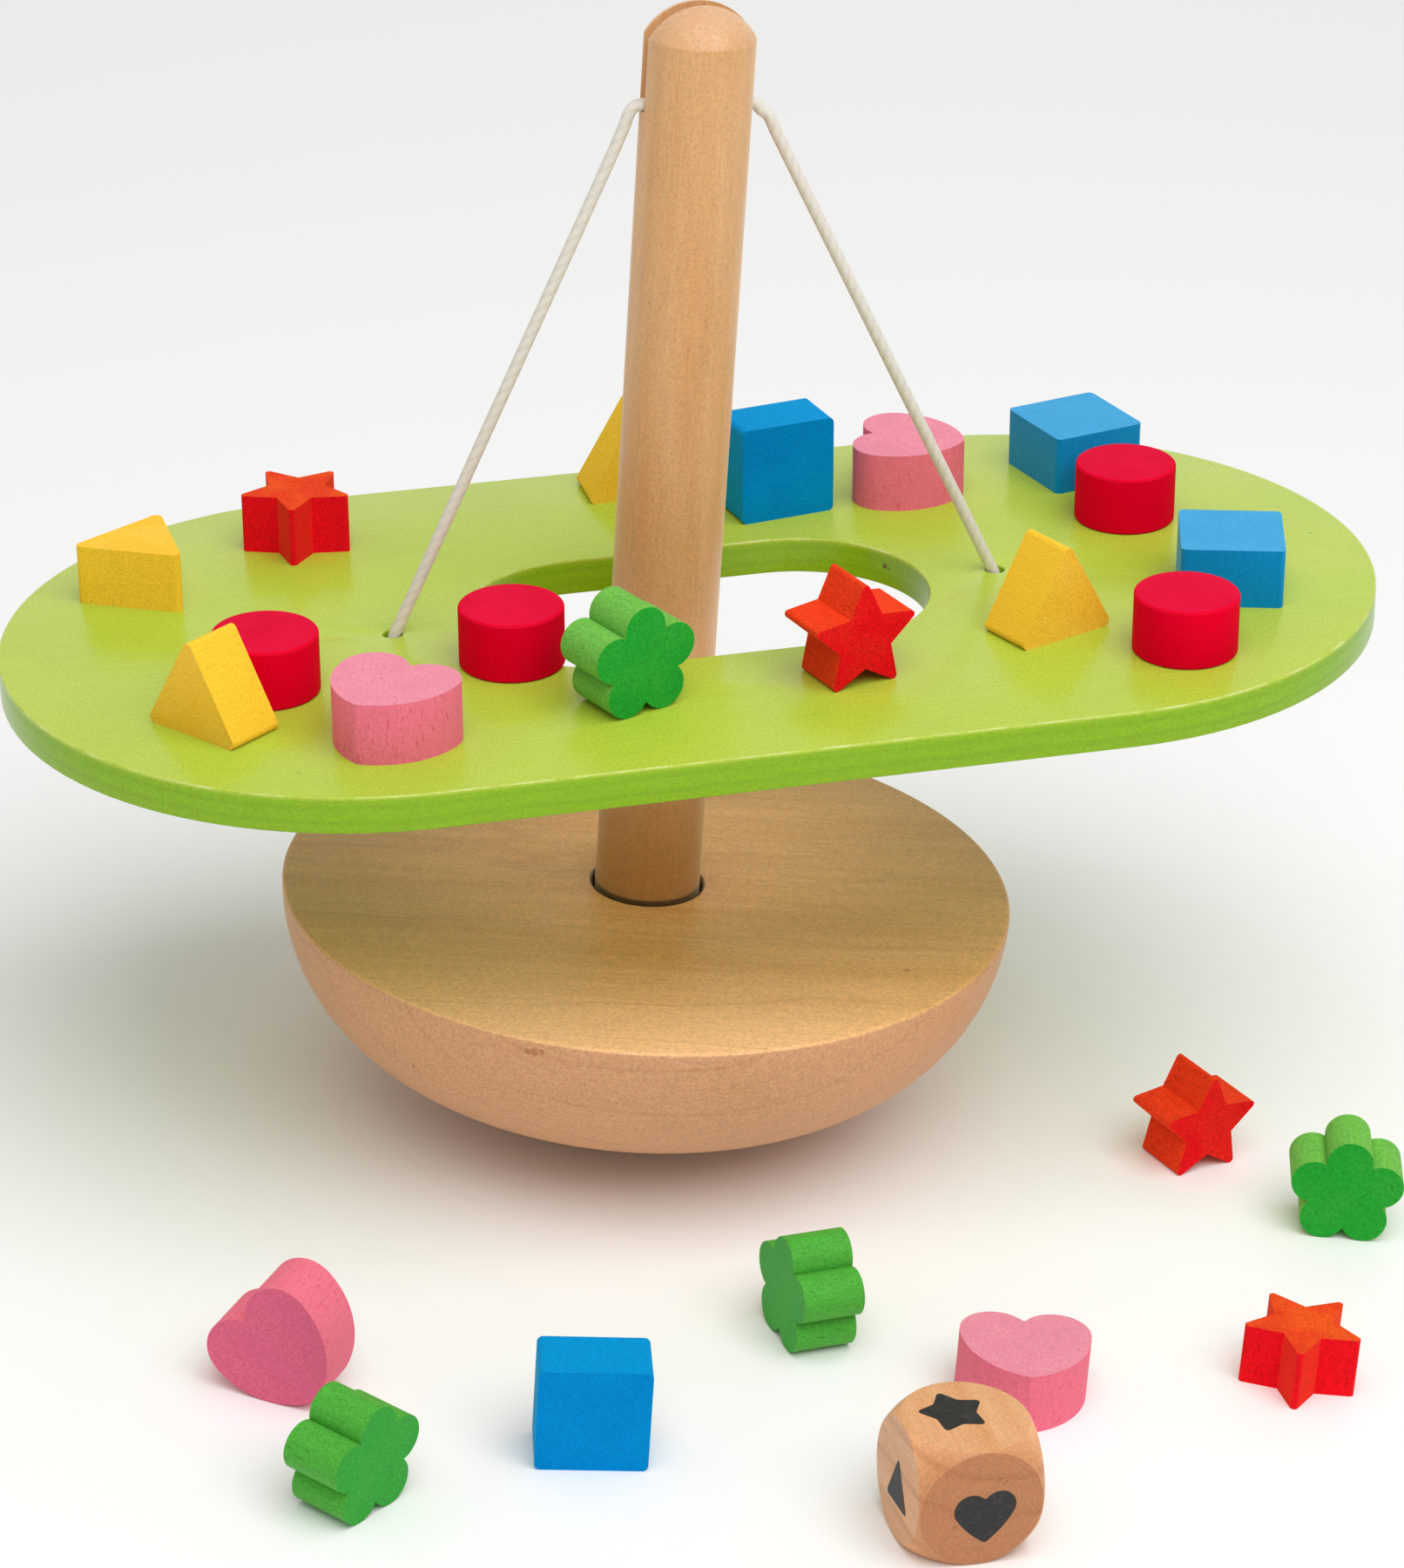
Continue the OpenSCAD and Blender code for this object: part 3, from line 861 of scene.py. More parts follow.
@dataclass(frozen=True)
class CottonCord:
    """Bleached cotton, many soft yarns laid tight.

    The eye gets an ivory cord with a faint slanting twist and a dull fuzzy surface.
    """

    name: str = "bleached_cotton_cord"
    yarn: str = "#E4DED2"
    groove: str = "#D8D1C4"
    # A yarn is about 0.15 mm thick, too fine to show, so it is drawn coarser
    yarn_mm: float = 0.4
    yarn_along: float = 0.25
    yarn_tone: Span = (0.92, 1.04)
    slant_deg: float = 40.0
    roughness: float = 0.9
    fuzz: float = 0.2
    relief_mm: float = 0.03
    relief_strength: float = 0.8

    def material(self) -> bpy.types.Material:
        """Builds the finish.

        Returns:
            A material on the cord's own coordinates: along, around and depth in its grooves.
        """
        material, tree, surface = blank_material(self.name)
        lay = add_node(tree, "ShaderNodeAttribute", attribute_name=YARN).outputs["Vector"]
        depth = add_node(tree, "ShaderNodeSeparateXYZ", {0: lay}).outputs["Z"]
        turned = add_node(tree, "ShaderNodeMapping", {
            "Vector": lay, "Rotation": (0.0, 0.0, math.radians(self.slant_deg))})
        twisted = add_node(tree, "ShaderNodeMapping", {
            "Vector": turned.outputs["Vector"], "Scale": (self.yarn_along, 1.0, 0.0)})
        yarn = add_node(tree, "ShaderNodeTexNoise", {
            "Vector": twisted.outputs["Vector"], "Scale": 1 / self.yarn_mm, "Detail": 3.0})
        cotton = add_node(tree, "ShaderNodeMix", {
            0: depth, MIX_A: linear(self.yarn), MIX_B: linear(self.groove)}, data_type="RGBA")
        shade = add_node(tree, "ShaderNodeMapRange", {
            "Value": yarn.outputs["Fac"], "From Min": NOISE_LOW, "From Max": NOISE_HIGH,
            "To Min": self.yarn_tone[0], "To Max": self.yarn_tone[1]})
        toned = add_node(tree, "ShaderNodeVectorMath", {
            0: cotton.outputs[MIX_OUT], "Scale": shade.outputs["Result"]}, operation="SCALE")
        bump = add_node(tree, "ShaderNodeBump", {
            "Height": yarn.outputs["Fac"], "Distance": self.relief_mm * MM,
            "Strength": self.relief_strength})
        tree.links.new(toned.outputs["Vector"], surface.inputs["Base Color"])
        tree.links.new(bump.outputs["Normal"], surface.inputs["Normal"])
        surface.inputs["Roughness"].default_value = self.roughness
        surface.inputs["Sheen Weight"].default_value = self.fuzz
        return material


@dataclass(frozen=True)
class PadInk:
    """Black pad-printing ink: the eye gets a matt black, a little thin where the wood's pores take it."""

    name: str = "black_pad_ink"
    ink: str = "#1B1A1C"
    thin: str = "#38322F"
    patch_mm: float = 1.1
    thin_range: Span = (0.5, 0.75)
    roughness: float = 0.55

    def material(self) -> bpy.types.Material:
        """Builds the finish.

        Returns:
            A material on object coordinates.
        """
        material, tree, surface = blank_material(self.name)
        place = add_node(tree, "ShaderNodeTexCoord").outputs["Object"]
        patch = add_node(tree, "ShaderNodeTexNoise", {
            "Vector": place, "Scale": 1 / (self.patch_mm * MM), "Detail": 4.0})
        cover = add_node(tree, "ShaderNodeMapRange", {
            "Value": patch.outputs["Fac"], "From Min": self.thin_range[0], "From Max": self.thin_range[1]})
        ink = add_node(tree, "ShaderNodeMix", {
            0: cover.outputs["Result"], MIX_A: linear(self.ink), MIX_B: linear(self.thin)},
            data_type="RGBA")
        tree.links.new(ink.outputs[MIX_OUT], surface.inputs["Base Color"])
        surface.inputs["Roughness"].default_value = self.roughness
        return material


@dataclass(frozen=True)
class StudioPaper:
    """A white paper sweep, dead matt, which gives the eye nothing but soft shadows."""

    name: str = "white_paper"
    paper: str = "#FBFBFA"

    def material(self) -> bpy.types.Material:
        """Builds the finish.

        Returns:
            A plain material.
        """
        material, _, surface = blank_material(self.name)
        surface.inputs["Base Color"].default_value = linear(self.paper)
        surface.inputs["Roughness"].default_value = 1.0
        surface.inputs["Specular IOR Level"].default_value = 0.0
        return material


@dataclass
class RockerBase:
    """The turned base: a flat top with a socket, over a domed underside that rocks."""

    node: str = "base"
    rocker_r: float = 120.0
    rim_round: float = 1.0
    socket_r: float = 11.2
    socket_depth: float = 25.0
    mouth_round: float = 0.9
    mouth_shade_reach: float = 0.9
    dome_cut: float = 0.8
    rocker_steps: int = 20
    side_steps: int = 28
    rim_steps: int = 6
    mouth_steps: int = 4
    top_rings: int = 4
    turn_steps: int = 192
    dents: SpotMarks = SpotMarks((
        Spot((-38.3, -64.3, 43.9), 1.1), Spot((-39.6, -63.6, 43.7), 0.8), Spot((-37.1, -65.0, 44.2), 0.7),
        Spot((-57.1, -42.9, 30.7), 0.6), Spot((-56.2, -43.6, 29.6), 0.5), Spot((42.1, -46.1, 46.5), 0.8)))
    # Painted light: the front of the flat top is brighter than these lights make it, so it is painted paler
    painted_front_light: Drift = Drift("#FCC38A", (-0.27, -0.96, 0.0), 25.0, 74.0, 0.9)

    def profile(self) -> list[Point]:
        """Works out half of the base's section.

        Returns:
            Points from the lowest one, round the rim and down to the middle of the socket's floor.
        """
        low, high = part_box(self.node)
        radius, height = (high.x - low.x) / 2 / MM, (high.z - low.z) / MM
        lift = self.rocker_r - height
        side_r = (self.rocker_r ** 2 - radius ** 2 - lift ** 2) / (2 * (self.rocker_r - radius))
        side_x = radius - side_r
        meet = math.degrees(math.atan2(side_x, lift))
        stop = -math.degrees(math.asin(self.rim_round / side_r))
        rim = (radius - self.rim_round, height - self.rim_round)
        mouth = (self.socket_r + self.mouth_round, height - self.mouth_round)
        floor = height - self.socket_depth
        return (
            arc((0.0, self.rocker_r), self.rocker_r, -90.0, meet - 90.0, self.rocker_steps)
            + arc((side_x, height), side_r, meet - 90.0, stop, self.side_steps)[1:]
            + arc(rim, self.rim_round, 0.0, 90.0, self.rim_steps)[1:]
            + [(radius * k / self.top_rings, height) for k in range(self.top_rings - 1, 0, -1)]
            + arc(mouth, self.mouth_round, 90.0, 180.0, self.mouth_steps)
            + [(self.socket_r, floor), (0.0, floor)]
        )

    def turned(self) -> bpy.types.Object:
        """Turns the section on its axis, as on a lathe.

        Returns:
            The bare base.
        """
        outline = [(x * MM, 0.0, z * MM) for x, z in self.profile()]
        mesh = bpy.data.meshes.new(self.node)
        mesh.from_pydata(outline, [(k, k + 1) for k in range(len(outline) - 1)], [])
        piece = new_piece("rocker_base", mesh)
        with editing(piece):
            bpy.ops.mesh.select_all(action="SELECT")
            bpy.ops.mesh.spin(steps=self.turn_steps, angle=math.tau, center=(0, 0, 0), axis=(0, 0, 1))
            bpy.ops.mesh.select_all(action="SELECT")
            bpy.ops.mesh.remove_doubles(threshold=MERGE_MM * MM)
            bpy.ops.mesh.normals_make_consistent(inside=False)
        smooth(piece)
        return piece

    def cut(self, face: bpy.types.MeshPolygon) -> float:
        """Tells how far a face cuts across the fibres: the dome does, the flat top and the socket don't.

        Args:
            face: A face of the base.

        Returns:
            Its share.
        """
        on_dome = face.normal.z < LEVEL and face.center.xy.length > 2 * self.socket_r * MM
        return self.dome_cut * on_dome

    def mark_socket(self, piece: bpy.types.Object) -> None:
        """Marks the socket and its mouth, which the finish darkens as the shadow round the mast does.

        Args:
            piece: The base.
        """
        reach = (self.socket_r + self.mouth_shade_reach * self.mouth_round) * MM
        # Painted shade: the wear attribute marks the socket and its mouth here
        mouth = piece.data.attributes.new(WEAR_AND_SHADE, "FLOAT", "POINT")
        mouth.data.foreach_set("value", [float(v.co.xy.length < reach) for v in piece.data.vertices])

    def build(self) -> bpy.types.Object:
        """Turns the base, marks it and dresses it.

        Returns:
            The base.
        """
        piece = self.turned()
        mark_cut(piece, self.cut)
        self.mark_socket(piece)
        # Beech laid flat: a golden top with thin brown growth lines, and a pinker, plainer dome
        # Painted light on the front of the top, and painted shade in the socket and its mouth
        finish = LacqueredBeech(
            "turned_beech_base", pale="#F2B674", streak="#E6A660", end="#D49C73", fleck="#A8653C",
            grain=Grain.ALONG, marks=self.dents, drifts=(self.painted_front_light,), turn_deg=14.6,
            ring_edge=0.9, figure=0.17, fibre_mm=0.7, speckle=0.14, gloss=0.25, rim=0.75)
        dress(piece, finish.material(), "base_beech", self.node)
        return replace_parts(piece, self.node)


@dataclass
class SlottedMast:
    """The dowel with its domed top, slotted for the cord."""

    node: str = "mast"
    seat_node: str = "base"
    edge_round: float = 0.8
    edge_limit_deg: float = 20.0
    edge_segments: int = 3
    dome_cut: float = 0.6
    # Painted shade: darker amber towards the foot and inside the socket, and a dark line at the socket's
    # mouth
    foot_shade: str = "#C28646"
    foot_shade_weight: float = 0.75
    foot_shade_above: Span = (71.5, 3.5)
    shadow: str = "#26170B"
    shadow_weight: float = 0.75
    shadow_above: Span = (1.0, 0.4)
    shadow_below: Span = (0.5, 1.2)
    pinhole: SpotMarks = SpotMarks((Spot((-8.7, -6.4, 174.8), 0.35),))

    def tones(self) -> tuple[Drift, ...]:
        """Works out how the dowel darkens towards its foot, where less light reaches it.

        Returns:
            A painted shade over the foot, a dark line that stands for the shadow at the socket's mouth, and
            the painted shade again below it.
        """
        down = (0.0, 0.0, -1.0)
        mouth = -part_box(self.seat_node)[1].z / MM
        foot_shade_start, foot_shade_end = (mouth - height for height in self.foot_shade_above)
        line_start, line_end = (mouth - height for height in self.shadow_above)
        foot_start, foot_end = (mouth + depth for depth in self.shadow_below)
        return (
            Drift(self.foot_shade, down, foot_shade_start, foot_shade_end, self.foot_shade_weight),
            Drift(self.shadow, down, line_start, line_end, self.shadow_weight),
            Drift(self.foot_shade, down, foot_start, foot_end, 1.0))

    def cut(self, face: bpy.types.MeshPolygon) -> float:
        """The share by which a face cuts across the upright fibres."""
        return self.dome_cut * max(0.0, face.normal.z)

    def build(self) -> bpy.types.Object:
        """Copies the solid, softens its edges and dresses it.

        Returns:
            The mast.
        """
        piece = copy_node(self.node, "slotted_mast")
        round_edges(
            piece, self.edge_round, Rounded.SHARP, limit_deg=self.edge_limit_deg,
            segments=self.edge_segments)
        mark_cut(piece, self.cut)
        # A planed dowel: upright flecks and faint streaks, a pinker sanded dome, hazy flanks, and painted
        # shade towards its foot and at the socket's mouth
        finish = LacqueredBeech(
            "beech_dowel", pale="#DFAE7C", streak="#D79D62", end="#DDB08C", fleck="#9A673C",
            grain=Grain.UPRIGHT, marks=self.pinhole, drifts=self.tones(),
            heart_mm=(0.0, 14.0, 22.0), ring_mm=5.0, figure=0.08, haze=0.6)
        dress(piece, finish.material(), "mast_beech", self.node)
        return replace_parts(piece, self.node)


@dataclass(frozen=True)
class Swing:
    """Where the deck hangs: the point in the slot, and the deck's own directions."""

    point: Vector
    along: Vector
    up: Vector

    @classmethod
    def of_frame(cls) -> "Swing":
        """Reads the swing from the joints of the frame.

        Returns:
            The swing at rest.
        """
        joints = {j["name"]: j for j in frame["joints"]}
        along = Vector(joints["deck_roll"]["axis"])
        return cls(Vector(joints["deck_swing"]["pos_m"]), along, along.cross(Vector((0, 1, 0))))

    @property
    def tilt(self) -> float:
        """The deck's turn about Y at rest."""
        return math.atan2(-self.along.z, self.along.x)

    def place(self, x: float, y: float, z: float) -> Vector:
        """A point given in millimetres along, across and above the slot, on the swung deck."""
        return self.point + (self.along * x + Vector((0, y, 0)) + self.up * z) * MM


@dataclass
class HangingDeck:
    """The long board with its opening for the mast."""

    swing: Swing
    node: str = "deck"
    drop: float = 104.3
    edge_round: float = 0.9
    edge_limit_deg: float = 40.0
    knots: SpotMarks = SpotMarks((
        Spot((50.3, 14.2, 108.6), 0.8), Spot((51.4, 13.2, 108.3), 0.6),
        Spot((-84.5, -57.5, 102.8), 0.35), Spot((138.0, 1.0, 117.7), 0.4)))

    def build(self) -> bpy.types.Object:
        """Copies the solid, rounds its sawn edges and dresses it.

        Returns:
            The deck.
        """
        piece = copy_node(self.node, "hanging_deck")
        round_edges(piece, self.edge_round, Rounded.SHARP, limit_deg=self.edge_limit_deg)
        # Birch ply takes the stain brightly on its face and more greenly on its sawn edge
        finish = StainedPly(
            "lime_stained_birch_ply", tilt=self.swing.tilt, top=self.swing.place(0, 0, -self.drop),
            lime="#BDD044", moss="#AAC53C", edge="#8FBC14", layer="#7EA812", rub="#E9EDAE", knot="#6B4A22",
            marks=self.knots)
        dress(piece, finish.material(), "green_stained_plywood", self.node)
        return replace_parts(piece, self.node)


@dataclass
class CordSling:
    """The cord: over the floor of the slot, straight down to both deck holes, and knotted below."""

    swing: Swing
    diameter: float = 2.4
    strands: int = 3
    lay: float = 9.0
    groove: float = 0.025
    groove_form: float = 1.5
    groove_shade: int = 2
    ring_step: float = 0.4
    sides: int = 24
    # Points of one half, along from the middle of the slot and above its floor
    saddle: tuple[Point, ...] = ((4.0, -0.35), (8.0, -0.35), (11.5, -0.5), (13.0, -1.8))
    leg: tuple[Point, ...] = (
        (14.3, -3.9), (15.5, -6.5), (16.8, -9.4), (27.5, -31.9), (38.2, -54.3), (48.9, -76.8),
        (59.5, -99.2), (61.95, -104.3), (62.4, -105.4), (62.5, -106.1))
    hole: tuple[Point, ...] = ((62.5, -105.4), (62.5, -108.6), (62.5, -112.4))
    # Depths below the floor of the slot
    bend_from: float = 0.5
    bend_to: float = 14.0
    knot_r: float = 1.25
    knot_width: float = 0.8
    knot_height: float = 1.1
    knot_turn_deg: Span = (-60.0, 270.0)
    knot_steps: int = 24
    knot_drop: float = 115.4
    knot_pull: float = 0.92
    tail: tuple[Place, ...] = ((0.3, -0.6, -3.5), (0.8, -0.9, -7.0))

    def half(self, s: int) -> list[Vector]:
        """The cord's points on one side, level in the slot and swung with the deck below it.

        Args:
            s: -1 for the left side, 1 for the right.

        Returns:
            Points from the slot down into the deck hole.
        """
        level = [self.swing.point + Vector((s * x, 0, z)) * MM for x, z in self.saddle]
        return level + [self.swing.place(s * x, 0, z) for x, z in self.leg]

    def route(self) -> list[Vector]:
        """The cord's points from the left hole, through the slot, to the right hole."""
        return self.half(-1)[::-1] + self.half(1)

    def knot_path(self, s: int) -> list[Vector]:
        """Works out the route of one overhand knot and its tail, under one hole.

        Args:
            s: -1 for the left side, 1 for the right.

        Returns:
            Points from the hole, round the knot and out along the tail.
        """
        start, end = self.knot_turn_deg
        points = [self.swing.place(s * x, 0, z) for x, z in self.hole]
        for k in range(self.knot_steps + 1):
            # A trefoil, drawn in a little across
            t = math.radians(start + (end - start) * k / self.knot_steps)
            x = self.knot_width * self.knot_r * (math.sin(t) + 2 * math.sin(2 * t))
            y = self.knot_width * self.knot_r * (math.cos(t) - 2 * math.cos(2 * t))
            z = -self.knot_height * self.knot_r * math.sin(3 * t)
            points.append(self.swing.place(s * self.hole[0][0] + x, y, z - self.knot_drop))
        return points + [points[-1] + Vector(step) * MM for step in self.tail]

    def resampled(self, points: Sequence[Vector]) -> list[Vector]:
        """Runs a smooth curve through points and steps evenly along it.

        Args:
            points: The points that the cord passes through.

        Returns:
            Points about one ring step apart.
        """
        step = self.ring_step * MM
        ends = [points[0] * 2 - points[1], *points, points[-1] * 2 - points[-2]]
        fine: list[Vector] = []
        for a, b, c, d in zip(ends, ends[1:], ends[2:], ends[3:]):
            count = max(2, math.ceil((c - b).length / (step / 4)))
            for t in (k / count for k in range(count)):
                fine.append(
                    ((b * 2) + (c - a) * t + (a * 2 - b * 5 + c * 4 - d) * t ** 2
                     + (b * 3 - a - c * 3 + d) * t ** 3) / 2)
        fine.append(points[-1].copy())
        kept = [fine[0]]
        run = 0.0
        for a, b in zip(fine, fine[1:]):
            run += (b - a).length
            if run >= step:
                kept.append(b)
                run = 0.0
        kept[-1] = fine[-1]
        return kept

    def tube(self, name: str, path: Sequence[Vector], radius: float) -> bpy.types.Object:
        """Lays the strands round a path.

        Args:
            name: The piece's name.
            path: The middle of the cord, evenly stepped.
            radius: From the middle to the top of a strand, in millimetres.

        Returns:
            A closed tube with one rounded groove between each two strands.
        """
        verts: list[Vector] = []
        lay_out: list[Place] = []
        side = Vector((0, 1, 0))
        run = 0.0
        last = len(path) - 1
        for i, p in enumerate(path):
            ahead = (path[min(i + 1, last)] - path[max(i - 1, 0)]).normalized()
            side = (side - ahead * side.dot(ahead)).normalized()
            other = ahead.cross(side)
            run += (p - path[i - 1]).length / MM if i else 0.0
            for k in range(self.sides):
                a = math.tau * k / self.sides
                strand = abs(math.cos(self.strands / 2 * (a - math.tau * run / self.lay)))
                r = radius * (1 - self.groove * (1 - strand) ** self.groove_form) * MM
                verts.append(p + (side * math.cos(a) + other * math.sin(a)) * r)
                lay_out.append((run, a * radius, (1 - strand) ** self.groove_shade))
        n = self.sides
        faces = [
            (i * n + k, i * n + (k + 1) % n, (i + 1) * n + (k + 1) % n, (i + 1) * n + k)
            for i in range(last) for k in range(n)]
        faces += [tuple(range(n))[::-1], tuple(last * n + k for k in range(n))]
        mesh = bpy.data.meshes.new(name)
        mesh.from_pydata(verts, [], faces)
        yarn = mesh.attributes.new(YARN, "FLOAT_VECTOR", "POINT")
        yarn.data.foreach_set("vector", [x for row in lay_out for x in row])
        piece = new_piece(name, mesh)
        with editing(piece):
            bpy.ops.mesh.select_all(action="SELECT")
            bpy.ops.mesh.normals_make_consistent(inside=False)
        smooth(piece)
        return piece

    def build(self) -> list[bpy.types.Object]:
        """Lays the sling and ties its two knots.

        Returns:
            The sling and the two knots.
        """
        finish = CottonCord().material()
        path = self.resampled(self.route())
        sling = self.tube("cord_sling", path, self.diameter / 2)
        sling.data.materials.append(finish)
        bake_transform(sling)
        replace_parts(sling, "cord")
        knots = []
        for side, s in (("left", -1), ("right", 1)):
            pulled = self.resampled(self.knot_path(s))
            knot = self.tube(f"cord_knot_{side}", pulled, self.diameter / 2 * self.knot_pull)
            dress(knot, finish, "cotton_cord", "deck")
            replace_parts(knot, "cord")
            knots.append(knot)
        return [sling, *knots]


@dataclass(frozen=True)
class PieceKind:
    """One stain of one shape: its nodes' stem and numbers, its stain and the rounding of its edges."""

    stem: str
    edge_round: float
    stain: StainedWood
    rounded: Rounded = Rounded.CAPS
    numbers: tuple[int, ...] = (1, 2, 3, 4)


@dataclass
class PieceSet:
    """The loose game pieces, four of each shape; the blues, pinks and orange reds have lit and shaded
    copies of one stain, and the greens two tones.
    """

    kinds: tuple[PieceKind, ...] = (
        # A sandy yellow, with grain raised by the water stain
        PieceKind("yellow_triangle", 0.7, StainedWood(
            "yellow_stained_basswood", "yellow_stained_wood",
            wall="#FBCB38", end="#FBC53A", bloom="#FFCF50", pore="#D09A20", edge="#FFDF7A",
            nap="#FFE9A0", nap_weight=0.05, uneven=0.5, streaks=0.0, fibre=0.02, speckle=0.14,
            grit_mm=0.4, relief_mm=0.08)),
        # A dense even crimson, with hardly any grain left to see
        PieceKind("red_cylinder", 0.16, StainedWood(
            "crimson_stained_basswood", "red_stained_wood",
            wall="#EA0028", end="#D2002E", bloom="#D80034", pore="#A00018", edge="#E81840",
            nap="#FF2050", nap_weight=0.03, uneven=0.5, streaks=0.1, fibre=0.03, speckle=0.05),
            rounded=Rounded.SHARP),
        # Two copies of one blue: a hazy one with pale sawn faces, and a deep even one
        # Painted light: the pale sawn faces are those of the blocks that lie flat and face up to the light
        PieceKind("blue_block", 0.8, StainedWood(
            "blue_stained_basswood_lit_caps", "blue_stained_wood",
            wall="#008CD2", end="#389FD8", bloom="#46AAE2", pore="#006BA8", edge="#3CAFE6",
            nap="#C8FFF4", nap_weight=0.3, uneven=0.4, streaks=0.15, fibre=0.05, speckle=0.1),
            numbers=(1, 2)),
        PieceKind("blue_block", 0.8, StainedWood(
            "blue_stained_basswood_shaded_caps", "blue_stained_wood",
            wall="#0092D4", end="#0086CF", bloom="#0092D8", pore="#006BA8", edge="#3CAFE6",
            nap="#60E0FF", nap_weight=0.2, uneven=0.4, streaks=0.15, fibre=0.05, speckle=0.1),
            numbers=(3, 4)),
        # Two copies of one pink with dark dashes in their walls: one with pale sawn faces, one with rosy
        # ones
        # Painted light: the pale sawn faces are those of the hearts that lie flat and face up to the light,
        # the rosy ones the heart on its flank
        PieceKind("pink_heart", 0.5, StainedWood(
            "pink_stained_basswood_lit_caps", "pink_stained_wood",
            wall="#F2788E", end="#E990A3", bloom="#F29BAB", pore="#C83A48", edge="#F8A0B2",
            nap="#FF98AE", nap_weight=0.3, uneven=0.5, streaks=0.5, fibre=0.06, speckle=0.1, pore_run=3.0),
            numbers=(1, 2, 3)),
        PieceKind("pink_heart", 0.5, StainedWood(
            "pink_stained_basswood_shaded_caps", "pink_stained_wood",
            wall="#F2788E", end="#E16787", bloom="#E86F8C", pore="#C83A48", edge="#F8A0B2",
            nap="#FF98AE", nap_weight=0.2, uneven=0.5, streaks=0.5, fibre=0.06, speckle=0.1, pore_run=3.0),
            numbers=(4,)),
        # Two greens with coarse grain: one with pale walls, one deeper and faintly glossy
        PieceKind("green_flower", 1.0, StainedWood(
            "green_stained_basswood_pale", "green_stained_wood",
            wall="#72BC4D", end="#24A134", bloom="#3AAA3A", pore="#1F7A24", edge="#6CC455",
            nap="#D8F0A0", nap_weight=0.1, uneven=0.5, streaks=0.5, fibre=0.07, speckle=0.18, pore_run=3.0),
            numbers=(1, 2)),
        PieceKind("green_flower", 1.0, StainedWood(
            "green_stained_basswood_deep", "green_stained_wood",
            wall="#50AC3C", end="#2CA136", bloom="#42AA3A", pore="#1F7A24", edge="#62C04C",
            nap="#D8F0A0", nap_weight=0.1, uneven=0.5, streaks=0.4, fibre=0.07, speckle=0.18, pore_run=3.0,
            roughness=0.45, gloss=0.08), numbers=(3, 4)),
        # Two copies of one orange red: orange sawn faces over red walls, and the other way about
        # Painted light: faces that look up are painted orange, the sawn faces of the flat stars and the
        # walls of the standing ones
        PieceKind("red_star", 0.6, StainedWood(
            "orange_red_stained_basswood_lit_caps", "orange_stained_wood",
            wall="#EC0A20", end="#E63A1E", bloom="#F4601E", pore="#A00A0C", edge="#F4501E",
            nap="#FF8A3C", nap_weight=0.4, uneven=0.7, streaks=0.45, fibre=0.08, speckle=0.2),
            numbers=(1, 4)),
        PieceKind("red_star", 0.6, StainedWood(
            "orange_red_stained_basswood_lit_walls", "orange_stained_wood",
            wall="#EE3E1C", end="#EA0C1C", bloom="#EC241C", pore="#A00A0C", edge="#F4501E",
            nap="#FF8A3C", nap_weight=0.2, uneven=0.7, streaks=0.45, fibre=0.08, speckle=0.22),
            numbers=(2, 3)),
    )

    def build(self) -> list[bpy.types.Object]:
        """Copies every piece's solid, rounds its edges, lays its grain and dresses it.

        Returns:
            The pieces.
        """
        made = []
        for kind in self.kinds:
            material = kind.stain.material()
            for number in kind.numbers:
                node = f"{kind.stem}_{number}"
                piece = copy_node(node, f"{node}_piece")
                axis = flat_axis(piece.data)
                round_edges(piece, kind.edge_round, kind.rounded, axis)
                mark_grain(piece, axis, len(made))
                dress(piece, material, kind.stain.slot, node)
                made.append(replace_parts(piece, node))
        return made


@dataclass(frozen=True)
class Stamp:
    """How one shape is printed: the way its face looks, its size, its place on the face and its turn."""

    shape: Print
    way: Place
    size: float
    shift: Point = (0.0, 0.0)
    turn_deg: float = 0.0


